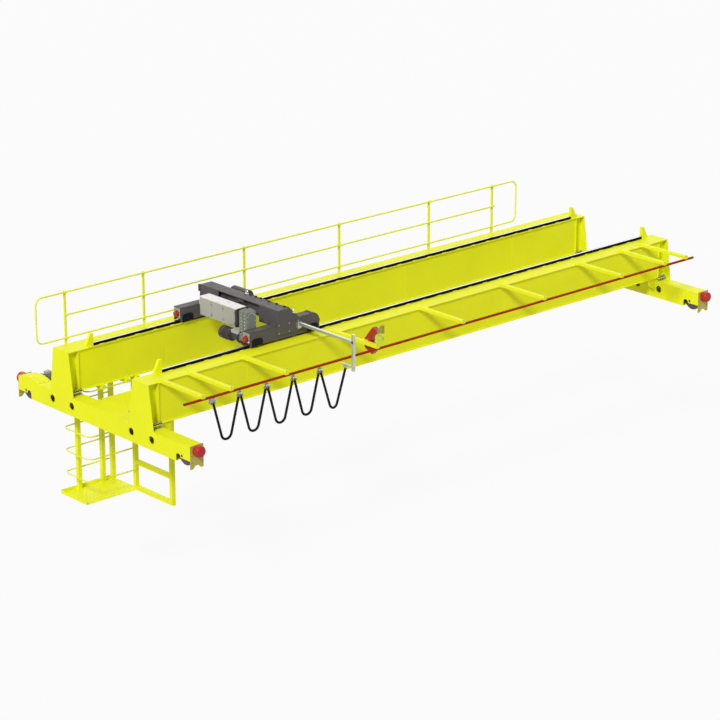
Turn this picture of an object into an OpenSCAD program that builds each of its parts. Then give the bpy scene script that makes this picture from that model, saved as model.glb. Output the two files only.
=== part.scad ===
// Double-girder overhead travelling crane with a hoist trolley, a festoon and an access cage.
// X runs along the span, Y along the runway and Z up. The origin is at mid-span, level with the rail tops.

/* [Runway and end trucks] */
// Distance between the two runway rails, centre to centre
span = 14450; // [10000:50:20000]
// Length of an end truck over its end plates
truck_len = 5570; // [5200:10:7000]
// Width of an end truck over its side plates
truck_w = 320; // [300:5:400]
// Height of a truck's top above the rail
truck_top = 435; // [430:5:520]
// Height of the side plates
truck_h = 385; // [340:5:400]
// Plate thickness of the trucks
truck_t = 12; // [8:1:16]
// Distance of a wheel's centre from the truck's end
wheel_inset = 260; // [250:5:320]
// Tread diameter of a truck wheel
truck_wheel_d = 400; // [380:5:410]
// Diameter of the access holes in the side plates
hole_d = 155; // [100:5:200]
// Distance between the two access holes of one girder end
hole_pitch = 640; // [560:10:700]
// Diameter of the round truck buffers
buffer_d = 230; // [160:5:280]
// Length of the truck buffers
buffer_len = 150; // [100:5:200]

/* [Girders] */
// Distance between the girder centre planes
girder_gap = 2570; // [2400:10:3000]
// Flange width
flange_w = 500; // [480:10:600]
// Top flange thickness
top_flange_t = 16; // [10:1:25]
// Bottom flange thickness
bottom_flange_t = 14; // [10:1:25]
// Web thickness
web_t = 8; // [6:1:14]
// Distance between the webs, outer faces
web_gap = 440; // [400:10:460]
// Depth of a girder over its flanges
girder_h = 853; // [700:1:1000]
// Height of the girder seats on the trucks
seat_h = 70; // [60:5:140]
// Width of the raised end plates at their tops
ear_top_w = 500; // [400:10:560]
// Width of the raised end plates at their feet
ear_foot_w = 750; // [600:10:900]

/* [Trolley rails] */
// Distance between the trolley rails, centre to centre
rail_gauge = 2200; // [2100:10:2400]
// Width and height of a rail
rail_w = 60; // [50:1:70]
// Distance from a rail's left end to the left truck's outer side
rail_inset_left = 650; // [500:5:700]
// Distance from a rail's right end to the right truck's outer side
rail_inset_right = 420; // [380:5:700]
// Length of a rail end stop
stop_len = 170; // [120:5:200]
// Height of a rail end stop
stop_h = 270; // [220:5:320]

/* [Handrail] */
// Height of the top rail above the girder
handrail_h = 1080; // [1000:5:1200]
// Height of the bottom rail above the girder
handrail_foot_h = 131; // [100:1:200]
// Outer diameter of the rails
handrail_d = 34; // [27:1:42]
// Side of the square posts
post_w = 40; // [30:1:50]
// Distance between the four middle posts
post_pitch = 2660; // [2000:10:2800]
// Distance from an outer middle post to the end post
post_end_pitch = 1965; // [1500:5:2000]
// Reach of the loop past the end posts
handrail_reach = 730; // [500:10:900]
// Distance of the handrail's middle from mid-span, towards the left
handrail_shift = 1090; // [900:10:1300]
// Radius of the loop's rounded corners, on the tube's centre line
bow_r = 150; // [100:5:200]

/* [Festoon] */
// Side of the square track
track_w = 40; // [36:1:50]
// Wall of the track
track_t = 3; // [2:0.5:5]
// Distance from the track's centre plane to the crane's centre plane
track_y = 2815; // [2600:5:2900]
// Width of the arms
arm_w = 100; // [60:5:120]
// Height of the arms
arm_h = 60; // [40:5:80]
// Distance between the five middle arms
arm_pitch = 2370; // [2000:10:2500]
// Distance from the outermost of these arms to the next one
arm_end_pitch = 1380; // [1200:10:1500]
// Distance between two carriers at rest
carrier_pitch = 675; // [650:5:700]
// Diameter of the flexible cable
cable_d = 50; // [30:1:54]

/* [Trolley] */
// Distance of the trolley's middle from mid-span, towards the left
trolley_shift = 3668; // [3600:1:3850]
// Length of a side frame
frame_len = 1820; // [1700:10:2000]
// Height of a side frame over the rail side
frame_h = 355; // [330:5:380]
// Width of a side frame
frame_w = 220; // [200:5:240]
// Plate thickness of the trolley
frame_t = 12; // [8:1:14]
// Distance of a wheel's centre from the side frame's end
trolley_wheel_inset = 180; // [160:5:210]
// Tread diameter of a trolley wheel
trolley_wheel_d = 250; // [235:5:265]
// Height of the cross beam's top above the side frames
beam_h = 250; // [220:5:320]
// Width of the cross beam's top plate
beam_w = 290; // [260:10:360]
// Length of the hoist cabinet
cabinet_len = 1160; // [1000:10:1300]
// Height of the hoist cabinet
cabinet_h = 380; // [300:5:400]
// Depth of the hoist cabinet
cabinet_depth = 250; // [200:5:280]
// Diameter of the rope drum
drum_d = 340; // [300:5:380]
// Length of the rope drum
drum_len = 1120; // [1000:10:1160]
// Diameter of the drum's drive
drive_d = 300; // [260:5:310]
// Diameter of the rope
rope_d = 14; // [10:1:16]

/* [Access cage] */
// Depth of the platform's top below the truck's top
cage_drop = 2415; // [2200:5:2600]
// Length of the cage along the span
cage_len = 1340; // [1200:10:1400]
// Width of the cage along the runway
cage_w = 880; // [800:10:900]
// Gap between the cage and the truck's inner side
cage_gap = 60; // [40:5:120]
// Distance between two hoops
hoop_pitch = 485; // [400:5:500]
// Side of the square posts
cage_post_w = 85; // [50:1:100]

/* [Hidden] */

YELLOW = [0.93, 0.94, 0.10];
DARK = [0.33, 0.32, 0.33];
LIGHT = [0.74, 0.73, 0.72];
RED = [0.75, 0.10, 0.12];
BLACK = [0.05, 0.05, 0.05];

// Clearance of a turning axle in its bore, and between faces of two bodies that nearly touch
fit = 0.1;
touch = 0.3;

// Trucks
truck_x = span / 2;
out_x = truck_x + truck_w / 2;
end_t = 15;
side_len = truck_len - 2 * end_t;
truck_z = truck_top - truck_h;
wheel_y = truck_len / 2 - wheel_inset;
wheel_z = truck_wheel_d / 2;
axle_r = 30;
wheel_flange = 12;
wheel_tread = 80;
wheel_flange_w = 20;
arch_r = 70;
arch_z = 150;
arch_y = wheel_y - 180;
hole_z = 265;

// Girders
girder_y = girder_gap / 2;
girder_z = truck_top + seat_h;
girder_top = girder_z + girder_h;
flange_x = out_x - truck_t;
end_bay = 265;
end_box_w = 260;
web_x = out_x - end_bay;
web_z = girder_z + bottom_flange_t;
web_h = girder_h - bottom_flange_t - top_flange_t;

// Rails
rail_x0 = rail_inset_left - out_x;
rail_x1 = out_x - rail_inset_right;
rail_y = rail_gauge / 2;
rail_top = girder_top + rail_w;

// Handrail
post_y = girder_y + flange_w / 2;
tube_y = post_y - handrail_d / 2;
post_drop = 80;
post_x = [for (s = [-1, 1]) for (k = [0.5, 1.5]) s * k * post_pitch];
post_end_x = 1.5 * post_pitch + post_end_pitch;
loop_x = post_end_x + handrail_reach;
mid_rail_h = (handrail_h + handrail_foot_h) / 2;

// Festoon
arm_mid_x = -268;
arm_x = [for (k = [-2:2]) k * arm_pitch];
arm_outer = 2 * arm_pitch + arm_end_pitch;
arm_last = arm_outer + arm_end_pitch / 2;
arm_root_y = girder_y + flange_w / 2 - 40;
arm_tip_y = track_y + 25;
track_z = girder_top - track_w;
track_x0 = -7530;
track_x1 = 6780;
slot_w = 18;
head_w = track_w - 2 * track_t - 10;
clamp_x = -6858;
clamp_z = 1200;
carrier_len = 120;

// Trolley: its X places count from the trolley's middle
tx = -trolley_shift;
frame_z = rail_top - 13;
frame_top = frame_z + frame_h;
frame_end = frame_len / 2;
beam_top = frame_top + beam_h;
beam_x = -190;
beam_back = beam_x + beam_w;
frame_y0 = rail_y - frame_w / 2;
frame_y1 = rail_y + frame_w / 2;
wheel_x = frame_len / 2 - trolley_wheel_inset;
tw_z = rail_top + trolley_wheel_d / 2 + touch;
tw_axle_r = 20;
cabinet_x = -600;
cabinet_z = frame_top - 195;
cabinet_y = -420;
drum_x = 360;
drum_z = frame_top - 70;
drum_y1 = 330;
drum_y0 = drum_y1 - drum_len;
shaft_r = 35;
beam_t = 14;
anchor_h = 90;
sheave_r = 140;
sheave_y = 60;
block_z = 1130;
block_x = drum_x - drum_d / 2 - rope_d / 2 - touch - sheave_r;
drum_drive_x = 330;
drum_drive_z = frame_top + 65;
drive_x = 43 - wheel_x;
drive_y = 758;
gearbox_h = 660;
gearbox_r = 160;
motor_x = -wheel_x - 30;
motor_z = frame_z + 60;
neck_len = 258;
tow_x = 330;
tow_z = 1670;
tow_y = track_y + 40;
tow_w = 60;
tow_foot_z = 1110;
tow_foot_len = 310;
tow_foot_w = 40;
tow_clamp_in = 200;
tow_clamp_h = 40;

// Cage
cage_x = -truck_x + truck_w / 2 + cage_gap;
cage_y = 1100;
cage_z = truck_top - cage_drop;
hoops = 5;
kick_h = 70;
kick_t = 6;
floor_t = 8;
landing_h = 50;

module at_ends() {
    children();
    mirror([1, 0, 0]) children();
}

module both_sides() {
    children();
    mirror([0, 1, 0]) children();
}

// A block centred in X and Y that stands on Z = 0
module block(size) {
    translate([-size[0] / 2, -size[1] / 2, 0]) cube(size);
}

// ---- End trucks ----

// Outline of a side plate, Y to the right and Z up
module side_outline(ears) {
    difference() {
        union() {
            translate([-side_len / 2, truck_z]) square([side_len, truck_h]);
            if (ears) {
                for (s = [-1, 1]) {
                    translate([s * girder_y, 0]) ear_outline();
                }
            }
        }
        for (s = [-1, 1]) {
            scale_y(s) wheel_arch();
            translate([s * wheel_y, wheel_z]) circle(r = axle_r + fit, $fn = 48);
            for (k = [-0.5, 0.5]) {
                translate([s * girder_y + k * hole_pitch, hole_z]) circle(d = hole_d, $fn = 48);
            }
        }
    }
}

module scale_y(s) {
    mirror([s < 0 ? 1 : 0, 0]) children();
}

module ear_outline() {
    polygon([[-ear_foot_w / 2, truck_top - 1], [ear_foot_w / 2, truck_top - 1],
        [ear_foot_w / 2, truck_top + 30], [ear_top_w / 2, girder_top],
        [-ear_top_w / 2, girder_top], [-ear_foot_w / 2, truck_top + 30]]);
}

module wheel_arch() {
    translate([arch_y, truck_z - 1]) square([side_len, arch_z - truck_z + 1]);
    translate([arch_y + arch_r, arch_z]) circle(r = arch_r, $fn = 48);
}

module side_plate(x, ears) {
    translate([x, 0, 0]) rotate([90, 0, 90]) linear_extrude(truck_t) side_outline(ears);
}

module left_outer_plate() {
    color(YELLOW) side_plate(-out_x, true);
}

module right_outer_plate() {
    color(YELLOW) side_plate(out_x - truck_t, true);
}

module truck_inner_plates() {
    color(YELLOW) at_ends() side_plate(truck_x - truck_w / 2, false);
}

module truck_flanges() {
    inside_w = truck_w - 2 * truck_t;
    bottom_len = 2 * (arch_y - 10);
    color(YELLOW) at_ends() {
        translate([truck_x, 0, truck_top - truck_t]) block([inside_w, side_len, truck_t]);
        translate([truck_x, 0, truck_z]) block([inside_w, bottom_len, truck_t]);
    }
}

// End plate with the notch that straddles the runway rail
module end_plate() {
    guard_z = -15;
    notch_z = 45;
    notch_top_w = 70;
    notch_w = 190;
    rotate([90, 0, 0]) linear_extrude(end_t) difference() {
        translate([-truck_w / 2, guard_z]) square([truck_w, truck_top + 20 - guard_z]);
        polygon([[-notch_w / 2, guard_z - 1], [notch_w / 2, guard_z - 1],
            [notch_top_w / 2, notch_z], [-notch_top_w / 2, notch_z]]);
    }
}

module truck_end_plates() {
    color(YELLOW) at_ends() both_sides() translate([truck_x, truck_len / 2, 0]) end_plate();
}

// Arched cover over a driven wheel, across the truck's top
module wheel_covers() {
    chord = 620;
    rise = 60;
    r = (chord * chord / 4 + rise * rise) / (2 * rise);
    inset = 90;
    color(YELLOW) at_ends() translate([truck_x - truck_w / 2 + 1, wheel_y - inset, truck_top])
        rotate([90, 0, 90]) linear_extrude(truck_w - 2) intersection() {
            translate([0, rise - r]) circle(r = r, $fn = 256);
            translate([-chord / 2, 0]) square([chord, rise + 1]);
        }
}

// Domed rubber buffer on its backing disc, pointing along -Y
module truck_buffer() {
    base_t = 15;
    dome_r = 90;
    rotate([90, 0, 0]) {
        cylinder(h = base_t, d = buffer_d - 20, $fn = 48);
        rotate_extrude($fn = 64) difference() {
            translate([0, base_t]) square([buffer_d / 2, buffer_len - base_t]);
            translate([buffer_d / 2 - 40, buffer_len - 40]) difference() {
                square(41);
                circle(r = 40, $fn = 48);
            }
        }
    }
}

module truck_buffers() {
    buffer_z = 345;
    color(RED) at_ends() both_sides() translate([truck_x, -truck_len / 2, buffer_z]) truck_buffer();
}

// Double-flanged wheel with its axle along X
module rail_wheel(tread_r, tread_w, flange, flange_w, axle, axle_len) {
    rotate([0, 90, 0]) {
        translate([0, 0, -axle_len / 2]) cylinder(h = axle_len, r = axle, $fn = 48);
        translate([0, 0, -tread_w / 2]) cylinder(h = tread_w, r = tread_r, $fn = 96);
        for (s = [-1, 1]) {
            translate([0, 0, s * (tread_w + flange_w) / 2 - flange_w / 2])
                cylinder(h = flange_w, r = tread_r + flange, $fn = 96);
        }
    }
}

module truck_wheel(x_side, y_side) {
    color(DARK) translate([x_side * truck_x, y_side * wheel_y, wheel_z])
        rail_wheel(truck_wheel_d / 2, wheel_tread, wheel_flange, wheel_flange_w, axle_r, truck_w - 2);
}

// Travel drive: gearbox over the far wheel's axle on the truck's inner side, with its motor
module travel_drive() {
    box = [140, 190, 300];
    motor_len = 320;
    motor_r = 95;
    drive_z = 130;
    translate([truck_x - truck_w / 2 - box[0] / 2, wheel_y, drive_z]) {
        block(box);
        translate([-box[0] / 2 + 1, 0, box[2] - motor_r + 10]) rotate([0, -90, 0])
            cylinder(h = motor_len, r = motor_r, $fn = 48);
    }
}

module travel_drives() {
    color(LIGHT) at_ends() travel_drive();
}

// ---- Girders ----

module girder_flanges() {
    color(YELLOW) {
        translate([0, girder_y, girder_top - top_flange_t]) block([2 * flange_x, flange_w, top_flange_t]);
        translate([0, girder_y, girder_z]) block([2 * flange_x, flange_w, bottom_flange_t]);
    }
}

module girder_webs() {
    color(YELLOW) for (s = [-1, 1]) {
        translate([0, girder_y + s * (web_gap - web_t) / 2, web_z]) block([2 * web_x, web_t, web_h]);
    }
}

// End diaphragm with three ribs out to the raised end plate
module end_stiffener() {
    plate_t = 12;
    translate([web_x + plate_t / 2, 0, web_z]) block([plate_t, flange_w - 10, web_h]);
    for (s = [-1, 0, 1]) {
        translate([(web_x + flange_x) / 2, s * end_box_w / 2, web_z])
            block([flange_x - web_x, plate_t, web_h]);
    }
}

// Knee plate under a girder, beside the truck
module knee_plate() {
    knee_x = truck_x - truck_w / 2;
    knee_len = 240;
    knee_drop = 300;
    translate([knee_x, web_gap / 2, 0]) rotate([90, 0, 0]) linear_extrude(12)
        polygon([[0, girder_z], [-knee_len, girder_z], [-knee_len, girder_z - 130],
            [0, girder_z - knee_drop]]);
}

module girder_end_stiffeners() {
    color(YELLOW) {
        at_ends() both_sides() translate([0, girder_y, 0]) end_stiffener();
        both_sides() translate([0, girder_y, 0]) knee_plate();
        // The cage stands where the fourth knee would be
        mirror([1, 0, 0]) translate([0, -girder_y, 0]) mirror([0, 1, 0]) knee_plate();
    }
}

// Seat between truck and girder: base plate and upright ribs
module girder_seat() {
    base_t = 20;
    rib_t = 14;
    seat_len = truck_w - truck_t;
    translate([truck_x - truck_t / 2, girder_y, truck_top]) {
        block([seat_len, flange_w, base_t]);
        for (k = [-1, 0, 1]) {
            translate([0, k * (web_gap - rib_t) / 2, 0]) block([seat_len, rib_t, seat_h]);
        }
    }
}

module girder_seats() {
    color(YELLOW) at_ends() both_sides() girder_seat();
}

module trolley_rails() {
    color(BLACK) both_sides() translate([(rail_x0 + rail_x1) / 2, rail_y, girder_top])
        block([rail_x1 - rail_x0, rail_w, rail_w]);
}

// Rail end stop: a tall nose against the buffer with a sloping back
module rail_stop() {
    translate([0, rail_y + 35, girder_top]) rotate([90, 0, 0]) linear_extrude(70)
        polygon([[0, 0], [stop_len, 0], [stop_len, 50], [60, stop_h], [0, stop_h]]);
}

module rail_stops() {
    color(YELLOW) both_sides() {
        translate([rail_x1, 0, 0]) rail_stop();
        translate([rail_x0, 0, 0]) mirror([1, 0, 0]) rail_stop();
    }
}

// ---- Handrail on the far girder ----

module handrail_posts() {
    post_len = post_drop + handrail_h + handrail_d / 2;
    color(YELLOW) for (x = concat(post_x, [-post_end_x, post_end_x])) {
        translate([x - handrail_shift, post_y + post_w / 2, girder_top - post_drop])
            block([post_w, post_w, post_len]);
    }
}

module tube_along_x(x0, x1, z) {
    translate([x0 - handrail_shift, tube_y, z]) rotate([0, 90, 0])
        cylinder(h = x1 - x0, d = handrail_d, $fn = 24);
}

module handrail_rails() {
    straight = loop_x - bow_r;
    color(YELLOW) {
        tube_along_x(-straight, straight, girder_top + handrail_h);
        tube_along_x(-straight, straight, girder_top + handrail_foot_h);
        tube_along_x(-post_end_x - post_w / 2, post_end_x + post_w / 2, girder_top + mid_rail_h);
    }
}

module handrail_bow() {
    rise = handrail_h - handrail_foot_h;
    translate([loop_x - bow_r, tube_y, girder_top + handrail_foot_h]) rotate([90, 0, 0]) {
        translate([0, bow_r, 0]) rotate([0, 0, -90]) bow_bend();
        translate([0, rise - bow_r, 0]) bow_bend();
        translate([bow_r, bow_r, 0]) rotate([-90, 0, 0])
            cylinder(h = rise - 2 * bow_r, d = handrail_d, $fn = 24);
    }
}

module bow_bend() {
    rotate_extrude(angle = 90, $fn = 48) translate([bow_r, 0]) circle(d = handrail_d, $fn = 24);
}

module handrail_end_bows() {
    color(YELLOW) translate([-handrail_shift, 0, 0]) at_ends() handrail_bow();
}

// ---- Festoon along the near girder ----

module festoon_arms() {
    len = arm_tip_y - arm_root_y;
    places = concat(arm_x, [-arm_outer, arm_outer, -arm_last, arm_last]);
    color(YELLOW) for (x = places) {
        translate([arm_mid_x + x - arm_w / 2, -arm_tip_y, girder_top]) cube([arm_w, len, arm_h]);
    }
}

// Track with a slot along its underside
module festoon_track() {
    color(RED) translate([track_x0, -track_y, track_z]) rotate([90, 0, 90])
        linear_extrude(track_x1 - track_x0) difference() {
            translate([-track_w / 2, 0]) square(track_w);
            translate([-track_w / 2 + track_t, track_t]) square(track_w - 2 * track_t);
            translate([-slot_w / 2, -1]) square([slot_w, track_t + 2]);
        }
}

// Carrier: a head that runs in the track, a neck through its slot and a saddle clamp for the cable
module carrier_shape() {
    head_h = 16;
    neck_w = 8;
    body = [70, 50, 60];
    body_z = clamp_z + 30;
    translate([0, 0, track_z + track_t + touch]) block([carrier_len, head_w, head_h]);
    translate([0, 0, body_z]) block([40, neck_w, track_z + track_t + touch + head_h - body_z]);
    translate([0, 0, body_z]) block(body);
    translate([0, 0, clamp_z]) block([2 * cable_d + 16, cable_d + 14, 31]);
}

module cable_carrier(k) {
    color(LIGHT) translate([clamp_x + k * carrier_pitch, -track_y, 0]) carrier_shape();
}

// The fixed clamp hangs from the track's outside and holds the cable's first end
module festoon_end_clamp() {
    color(LIGHT) translate([clamp_x, -track_y, 0]) {
        translate([0, 0, clamp_z]) block([2 * cable_d + 16, cable_d + 14, track_z - clamp_z]);
    }
}

// A loop hangs in two straight flanks that run into a round bottom
loop_depth = 790;
loop_r = 125;
flank_steps = 5;
bend_steps = 5;
cable_sides = 8;

// Lean of a loop's flank off the vertical, for a loop of width w
function flank_lean(w) = let (c = loop_depth - loop_r) atan(w / 2 / c) - asin(loop_r / norm([w / 2, c]));

// Left half of a loop of width w, from its clamp down to its lowest point
function loop_half(w) = let (lean = flank_lean(w), c = [w / 2, loop_r - loop_depth])
    concat([for (k = [0:flank_steps - 1]) (c - loop_r * [cos(lean), sin(lean)]) * k / flank_steps],
        [for (k = [0:bend_steps]) let (a = lean + k * (90 - lean) / bend_steps)
            c - loop_r * [cos(a), sin(a)]]);

function loop_points(a, b) = let (w = b[0] - a[0], half = loop_half(w), n = len(half))
    [for (i = [0:2 * n - 2]) let (p = i < n ? half[i] : [w - half[2 * n - 2 - i][0], half[2 * n - 2 - i][1]],
            t = p[0] / w)
        [a[0] + p[0], a[1] + (b[1] - a[1]) * t, a[2] + (b[2] - a[2]) * t + p[1]]];

function unit(v) = v / norm(v);

function heading(pts, i) = i == 0 || i == len(pts) - 1 ? [0, 0, i == 0 ? -1 : 1]
    : unit(pts[i + 1] - pts[i - 1]);

// Ring of points round the route at point i, with its first axis kept sideways to the loop's plane
function ring(pts, i, side) = let (t = heading(pts, i), u = side, w = cross(t, u))
    [for (k = [0:cable_sides - 1]) let (a = 360 * k / cable_sides)
        pts[i] + cable_d / 2 * (cos(a) * u + sin(a) * w)];

module cable_loop(a, b) {
    pts = loop_points(a, b);
    n = len(pts);
    m = cable_sides;
    side = unit(cross(b - a, [0, 0, 1]));
    rings = [for (i = [0:n - 1]) each ring(pts, i, side)];
    walls = [for (i = [0:n - 2]) for (k = [0:m - 1])
        [i * m + k, i * m + (k + 1) % m, (i + 1) * m + (k + 1) % m, (i + 1) * m + k]];
    first = [for (k = [m - 1:-1:0]) k];
    last = [for (k = [0:m - 1]) (n - 1) * m + k];
    color(BLACK) polyhedron(rings, concat([first], walls, [last]), convexity = 4);
}

cable_off = cable_d / 2 + 2;
function clamp_at(k, side) = [clamp_x + k * carrier_pitch + side * cable_off, -track_y, clamp_z];
tow_clamp = [tx + tow_x, -tow_y + tow_clamp_in, tow_foot_z - tow_clamp_h];

// Warning horn beside the fourth arm: bracket, leaning red housing and a bell mouth
module warning_horn() {
    arm_side = arm_mid_x - arm_pitch + arm_w / 2;
    depth = 120;
    lean = 38;
    base = [410 - track_y, girder_top];
    housing = [depth, 150, 270];
    bell_r = 115;
    bell_y = 90 - track_y;
    bell_z = girder_top + 140;
    translate([arm_side, 0, 0]) {
        color(YELLOW) translate([0, base[0] - 60, girder_top]) cube([40, 150, arm_h]);
        translate([35, 0, 0]) {
            color(RED) translate([depth / 2, base[0], base[1]]) rotate([lean, 0, 0]) block(housing);
            color(RED) translate([20, 0, 0]) rotate([90, 0, 90]) linear_extrude(depth - 40)
                polygon([[base[0] + 20, base[1] + 50], [base[0] - 100, base[1] + 90],
                    [base[0] - 190, base[1] - 110], [base[0] - 150, base[1] - 180]]);
            color(YELLOW) translate([20, bell_y, bell_z]) rotate([0, 90, 0])
                cylinder(h = 90, r1 = bell_r, r2 = 55, $fn = 48);
            color(YELLOW) translate([50, bell_y + 20, bell_z - 30]) cube([40, 130, 60]);
        }
    }
}

// ---- Access cage under the left truck ----

// Folded tray: floor with a kick rim at the back and at the left
module cage_platforms() {
    color(YELLOW) {
        translate([cage_x, cage_y, cage_z - floor_t]) cube([cage_len, cage_w, floor_t]);
        translate([cage_x, cage_back, cage_z - 1]) cube([cage_len, kick_t, kick_h]);
        translate([cage_x, cage_y, cage_z - 1]) cube([kick_t, cage_w, kick_h]);
        landing_plate();
    }
}

// Landing between the girders, level with the truck's top
module landing_plate() {
    landing = [cage_gap + cage_len, 650, landing_h];
    translate([-truck_x + truck_w / 2, -100, truck_top - landing[2]]) cube(landing);
}

cage_back = cage_y + cage_w - kick_t;
hanger_h = 80;
post_top = girder_z - hanger_h;
post_x0 = cage_x + 395;
post_x1 = cage_x + 1000;
post_x2 = cage_x + cage_len - cage_post_w;
cage_right = cage_x + cage_len;

module cage_post(x, y, w) {
    translate([x, y, cage_z]) cube([w, w, post_top - cage_z]);
}

module cage_posts() {
    w = cage_post_w;
    color(YELLOW) {
        for (x = [post_x0, post_x1, post_x2]) {
            cage_post(x, cage_back - w, w);
        }
        cage_post(post_x2, cage_y, w);
    }
}

// Beams that hang the cage from the far girder's bottom flange
module cage_hangers() {
    beam = [cage_post_w, 1000, hanger_h];
    color(YELLOW) for (x = [post_x0, post_x1, post_x2]) {
        translate([x, cage_back - beam[1], post_top]) cube(beam);
    }
}

// One hoop of flat bar round the back, the left and the front of the posts
module hoop(z) {
    bar = [6, 30];
    corner_r = 90;
    hoop_x = cage_x + 40;
    size = [cage_right - hoop_x, cage_w + bar[0]];
    translate([hoop_x, cage_y - bar[0], z]) linear_extrude(bar[1]) difference() {
        round_left(size, corner_r);
        translate([bar[0], bar[0]]) round_left([size[0], size[1] - 2 * bar[0]], corner_r - bar[0]);
    }
}

// A rectangle with its two left corners rounded
module round_left(size, r) {
    translate([r, 0]) square([size[0] - r, size[1]]);
    translate([0, r]) square([r + 1, size[1] - 2 * r]);
    for (y = [r, size[1] - r]) {
        translate([r, y]) circle(r = r, $fn = 48);
    }
}

module cage_hoops() {
    color(YELLOW) for (k = [1:hoops]) {
        hoop(cage_z + k * hoop_pitch - 60);
    }
}

// Upright frame beside the cage that carries the current collectors
module collector_frame() {
    reach = 1200;
    w = cage_post_w;
    foot_z = cage_z - floor_t;
    head_z = truck_top - landing_h;
    color(YELLOW) translate([post_x2, cage_y - reach, 0]) {
        translate([0, 0, foot_z]) cube([w, w, head_z - foot_z]);
        for (z = [foot_z, cage_z + 560]) {
            translate([0, w - 1, z]) cube([w, reach - w + 1, w]);
        }
    }
}

// ---- Trolley ----

// Profile of a side frame: low nose, flat back and a round hood over the rear wheel; X right, Z up
module frame_profile() {
    nose_z = 295;
    nose_x = -590;
    hood_r = 180;
    hood_z = 190;
    hood_x = frame_end - hood_r;
    polygon([[-frame_end, 0], [frame_end, 0], [frame_end, hood_z], [hood_x, hood_z], [hood_x, frame_h],
        [nose_x, frame_h], [-frame_end, nose_z]]);
    translate([hood_x, hood_z]) circle(r = hood_r, $fn = 96);
}

module cheek_outline() {
    difference() {
        frame_profile();
        for (s = [-1, 1]) {
            translate([s * wheel_x, 0]) frame_arch();
            translate([s * wheel_x, tw_z - frame_z]) circle(r = tw_axle_r + fit, $fn = 48);
        }
    }
}

// Wheel arch in a cheek, below the axle
module frame_arch() {
    arch_len = 250;
    arch_h = 85;
    r = 50;
    translate([-arch_len / 2, -1]) square([arch_len, arch_h - r + 1]);
    translate([-arch_len / 2 + r, -1]) square([arch_len - 2 * r, arch_h + 1]);
    for (s = [-1, 1]) {
        translate([s * (arch_len / 2 - r), arch_h - r]) circle(r = r, $fn = 48);
    }
}

module upright_xz(y, thickness) {
    translate([0, y + thickness / 2, 0]) rotate([90, 0, 0]) linear_extrude(thickness) children();
}

// Box frame: two cheeks, a skin that follows their profile and a nose plate
module side_frame() {
    translate([tx, rail_y, frame_z]) {
        for (s = [-1, 1]) {
            upright_xz(s * (frame_w - frame_t) / 2, frame_t) cheek_outline();
        }
        upright_xz(0, frame_w - 2) difference() {
            frame_profile();
            translate([0, -frame_t]) frame_profile();
            translate([-frame_end, -1]) square([frame_len, 60]);
        }
        for (s = [-1, 1]) {
            translate([s * (frame_end - frame_t / 2), 0, 100]) block([frame_t, frame_w - 2, 85]);
        }
        translate([-frame_end + frame_t / 2, 0, 100]) block([frame_t, frame_w - 2, 190]);
    }
}

module trolley_side_frames() {
    color(DARK) both_sides() side_frame();
}

// End plate that ties the beam to the outside of a side frame, X right and Z up from the frame's foot
module head_outline() {
    step = beam_back + 210;
    heel = beam_back + 290;
    polygon([[beam_x - 30, 75], [heel, 75], [heel, frame_h - 10], [step, frame_h + 65],
        [beam_back, frame_h + beam_h], [beam_x, frame_h + beam_h], [beam_x - 30, frame_h]]);
}

// Triangular haunch at one end of the beam's front, Y right and Z up from the beam's foot
module haunch_outline(half) {
    polygon([[half, beam_h], [600, beam_h], [half, 20]]);
}

// Cross beam: top plate, set-back front web, rear web, haunches and end plates
module cross_beam() {
    plate_t = beam_t;
    set_back = 120;
    half = frame_y1 + plate_t;
    hanger = [60, 200, anchor_h];
    color(DARK) translate([tx, 0, frame_top]) {
        translate([beam_x, -half, beam_h - plate_t]) cube([beam_w, 2 * half, plate_t]);
        translate([beam_x + set_back, -half, 0]) cube([plate_t, 2 * half, beam_h - 1]);
        translate([beam_back - plate_t, -half, 0]) cube([plate_t, 2 * half, beam_h - 1]);
        translate([beam_x + 30, -hanger[1] / 2, beam_h - plate_t - hanger[2]]) cube(hanger);
        for (y = [-150, 500]) {
            translate([cabinet_x + cabinet_depth, y, 10])
                cube([beam_x + set_back - cabinet_x - cabinet_depth + 1, plate_t, 140]);
        }
        both_sides() {
            translate([beam_x, 0, 0]) rotate([90, 0, 90]) linear_extrude(plate_t) haunch_outline(half);
            translate([0, frame_y1 + plate_t / 2, -frame_h]) upright_xz(0, plate_t) head_outline();
        }
        drum_bearing();
    }
}

// Gusset behind the beam that carries the near end of the drum's shaft
module drum_bearing() {
    plate_t = 20;
    seat_r = 75;
    seat_z = drum_z - frame_top;
    root_z = 150;
    translate([0, -frame_y0 + plate_t / 2, 0]) upright_xz(0, plate_t) difference() {
        union() {
            polygon([[beam_back - 5, root_z], [beam_back - 5, seat_z - seat_r], [drum_x, seat_z - seat_r],
                [drum_x, seat_z + seat_r]]);
            translate([drum_x, seat_z]) circle(r = seat_r, $fn = 64);
        }
        translate([drum_x, seat_z]) circle(r = shaft_r + fit, $fn = 48);
    }
}

module hoist_cabinet() {
    color(LIGHT) translate([tx + cabinet_x, cabinet_y, cabinet_z])
        cube([cabinet_depth, cabinet_len, cabinet_h]);
}

// Outline of the gearbox seen from one side: upright with an arched top
module gearbox_outline(w) {
    intersection() {
        translate([-w / 2, 0]) square([w, gearbox_h]);
        translate([0, gearbox_h - gearbox_r]) circle(r = gearbox_r, $fn = 96);
    }
    translate([-w / 2, 0]) square([w, gearbox_h - gearbox_r + 1]);
}

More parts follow.
